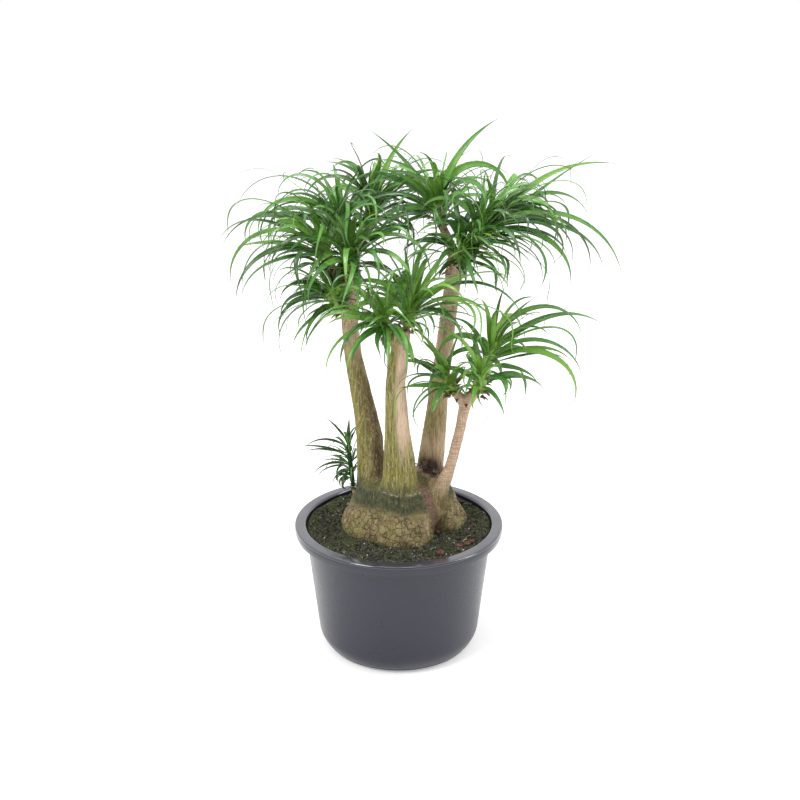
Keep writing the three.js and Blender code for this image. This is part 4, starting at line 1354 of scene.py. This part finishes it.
for number, head in enumerate(HEADS):
    leaves = solid_leaves(head, number)
    if head.name == "young_shoot":
        leaves += shoot_leaves(head)
    leaves += more_leaves(head, number)
    for leaf in leaves:
        leaf.bright = head.bright
    piece(head.name + "_leaves", leaf_mesh(leaves, green_leaf), "leaves", head.name)

# ---------------------------------------------------------------- heart of each head and dry leaf bases


def heart_finish():
    """Fresh green, darker in the young shoot."""
    heart = finish("heart_green", roughness=0.5, specular_ior_level=0.3)
    fresh = blend(noise(heart.place, 120, 4), (0.12, 0.24, 0.035), (0.32, 0.46, 0.09))
    upper = spread(part(heart.place, "Z"), 0.42, 0.52)
    heart.wire("Base Color", blend(upper, (0.02, 0.07, 0.018), fresh))
    return heart.material


# Share of the height and of the radius, from the foot to the tip of the short stem in a head
HEART_PROFILE = [(0, 0.72), (0.04, 0.82), (0.15, 0.98), (0.4, 1), (0.65, 0.93), (0.88, 0.62), (1, 0.2)]
HEART_SIDES = 14


def heart_form(head):
    """The tapered short stem inside a head, closed at both ends."""
    points, faces = [], []
    for share, wide in HEART_PROFILE:
        for side in range(HEART_SIDES):
            out = head.around(math.pi / 2, 2 * math.pi * side / HEART_SIDES)
            points.append((head.up(share * head.core) + out * wide * head.core_radius) * MM)
    for low in range(0, len(points) - HEART_SIDES, HEART_SIDES):
        for side in range(HEART_SIDES):
            a, b = low + side, low + (side + 1) % HEART_SIDES
            faces.append((a, b, b + HEART_SIDES, a + HEART_SIDES))
    faces.append(tuple(reversed(range(HEART_SIDES))))
    faces.append(tuple(range(len(points) - HEART_SIDES, len(points))))
    return points, faces


def husks(head, number):
    """Short dry leaf bases around the foot of a head."""
    count, low, rise = (16, -12, 22) if head.core_radius > 8 else (8, -3, 8)
    found = []
    for husk in range(count):
        draw = draws(HUSK_SEED + number * 4007 + husk * 101)
        off = head.around(math.pi / 2, husk * GOLDEN + number)
        start = off * (0.8 + 0.3 * draw(1)) + head.frame()[0] * (0.5 + 0.8 * draw(2))
        found.append(arched(
            head.up(low + rise * husk / count) + off * 0.75 * head.core_radius,
            *rise_and_heading(start / np.linalg.norm(start), steepest=1),
            length=head.core_radius * (1.1 + 0.9 * (draw(3) + 0.5)), bend=0.9 + draw(4),
            twist=draw(5), wide=head.width * (0.7 + 0.3 * draw(6)), shade=draw(7) + 0.5,
        ))
    return found


# Where old leaves have dried onto a stem's top: the place, the radius and the number of leaf bases
COLLARS = [((107, 60, 742), 17, 26), ((128, -21, 514), 11, 16), ((10, -50, 652), 15, 18),
           ((-98, 42, 700), 14, 16)]


def collar(place, radius, count):
    """Dry leaf bases that lie round the top of a stem, some of them peeling off."""
    found = []
    for husk in range(count):
        draw = draws(COLLAR_SEED + count * 3001 + place[2] * 71 + husk * 103)
        turn = husk * GOLDEN
        at = place + 0.8 * radius * np.array([math.cos(turn), math.sin(turn), 0])
        found.append(arched(
            at + np.array([0, 0, 16 * draw(0)]), rise=0.5 + 1.2 * draw(1), heading=turn + draw(2),
            length=radius * (0.9 + 0.9 * draw(3)), bend=1.2 + 1.5 * draw(4), twist=2 * draw(5),
            wide=9 + 5 * draw(6), shade=draw(7) + 0.5,
        ))
    return found


heart_points, heart_faces, dry_lines = [], [], []
for number, head in enumerate(HEADS):
    points, faces = heart_form(head)
    heart_faces += [tuple(len(heart_points) + k for k in face) for face in faces]
    heart_points += points
    dry_lines += husks(head, number)
for place, radius, count in COLLARS:
    dry_lines += collar(place, radius, count)
hearts = mesh_of("leaf_hearts", heart_points, heart_faces)
outward(hearts)
smooth_faces(hearts)
hearts.materials.append(heart_finish())
piece("leaf_hearts", hearts, "leaves")
dry_leaf = leaf_finish(
    "dry_leaf", (0.10, 0.060, 0.028), (0.24, 0.155, 0.075), (0.36, 0.27, 0.15), (0.05, 0.03, 0.015)
)
piece("dry_leaf_bases", leaf_mesh(dry_lines, dry_leaf, fold=0.5, thick=0.12), "bark")

# ---------------------------------------------------------------- rotten fibres and bits of straw

FIBRES = 26
STRAWS = 70
TURN = 6.283


def rotten_fibre(number):
    """A dark curled fibre in the hollow between the stems' feet."""
    draw = draws(FIBRE_SEED + number * 211)
    return arched(
        np.array([36 + 36 * (number + 0.5) / FIBRES, 26 + 14 * draw(0), 358 + 8 * draw(1)]),
        rise=0.7 + 1.2 * draw(2), heading=-1.6 + 4 * draw(3), length=17 + 12 * draw(4),
        bend=1.6 + 1.6 * draw(5), curl=5 * draw(6), twist=3 * draw(7), wide=2.6 + 1.6 * draw(8),
        shade=draw(9) + 0.5,
    )


def straw_bit(number):
    """A pale bit of straw that lies on the soil."""
    draw = draws(STRAW_SEED + number * 307)
    out, turn = 148 + 56 * draw(0), TURN * (draw(1) + 0.5)
    x, y = out * math.cos(turn), out * math.sin(turn)
    return arched(
        np.array([x, y, soil_height(x, y) + 2.2]), rise=0.5 + 0.5 * draw(2),
        heading=TURN * draw(3), length=8 + 8 * draw(4), bend=1 + draw(5), curl=3 * draw(6),
        twist=2 * draw(7), wide=1.7 + draw(8), shade=draw(9) + 0.5,
    )


dark_fibre = leaf_finish(
    "rotten_fibre",
    (0.010, 0.007, 0.005), (0.045, 0.028, 0.018), (0.07, 0.05, 0.03), (0.02, 0.012, 0.01),
)
pale_straw = leaf_finish(
    "pale_straw", (0.10, 0.095, 0.06), (0.40, 0.39, 0.28), (0.55, 0.54, 0.42), (0.20, 0.18, 0.12)
)
fibre_lines = [rotten_fibre(number) for number in range(FIBRES)]
piece("rotten_fibres", leaf_mesh(fibre_lines, dark_fibre, thick=0.3), "bark")
straw_lines = [straw_bit(number) for number in range(STRAWS)]
piece("straw_bits", leaf_mesh(straw_lines, pale_straw, thick=0.3), "soil")

# ---------------------------------------------------------------- lava stones

lava_red = plain_finish("lava_red", (0.085, 0.036, 0.028), (0.27, 0.13, 0.105), 260, depth=0.0012)


def stone_recipe():
    """A rough porous stone, made from a ball."""
    made = Recipe("stone", roughness="Float", seed="Int")
    place = vectors("ADD", made.at, joined(made.tree, X=made.given.seed))
    pits = spread(cells(place, 4.5), 0.0, 0.35, -0.10, 0.0)
    grow = (noise(place, 1.6, 4, 0.6) - 0.5) * made.given.roughness + pits
    return made.ended(moved(made.given.geometry, Position=vectors("SCALE", made.at, grow + 1.0)))


def fitted(mesh, box):
    """Moves and scales a mesh so that it fills a box."""
    low, high = (np.array(corner) for corner in box)
    points = points_of(mesh)
    share = (points - points.min(0)) / (points.max(0) - points.min(0))
    mesh.vertices.foreach_set("co", (low + share * (high - low)).astype(np.float32).ravel())
    mesh.update()


STONES = 5
STONE = stone_recipe()
for number in range(1, STONES + 1):
    ball = bpy.data.meshes.new("stone")
    with edited(ball) as work:
        bmesh.ops.create_icosphere(work, subdivisions=4, radius=1)
    made = STONE.made_from(ball, roughness=0.9, seed=7 * number, material=lava_red)
    fitted(made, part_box(f"stone_{number}"))
    smooth_faces(made)
    piece(f"lava_stone_{number}", made, "lava_stone", f"stone_{number}")

# ---------------------------------------------------------------- floor

FLOOR = 60
paper = finish("studio_floor", roughness=0.9, specular_ior_level=0.0, emission_strength=0.32)
paper.shader.inputs["Emission Color"].default_value = (1, 1, 1, 1)
paper.wire("Base Color", blend(noise(paper.place, 3, 2), (0.94, 0.94, 0.94), (0.96, 0.96, 0.96)))
corners = [(-FLOOR, -FLOOR, 0), (FLOOR, -FLOOR, 0), (FLOOR, FLOOR, 0), (-FLOOR, FLOOR, 0)]
floor = new_object("studio_floor", mesh_of("studio_floor", corners, [(0, 1, 2, 3)]))
floor.data.materials.append(paper.material)
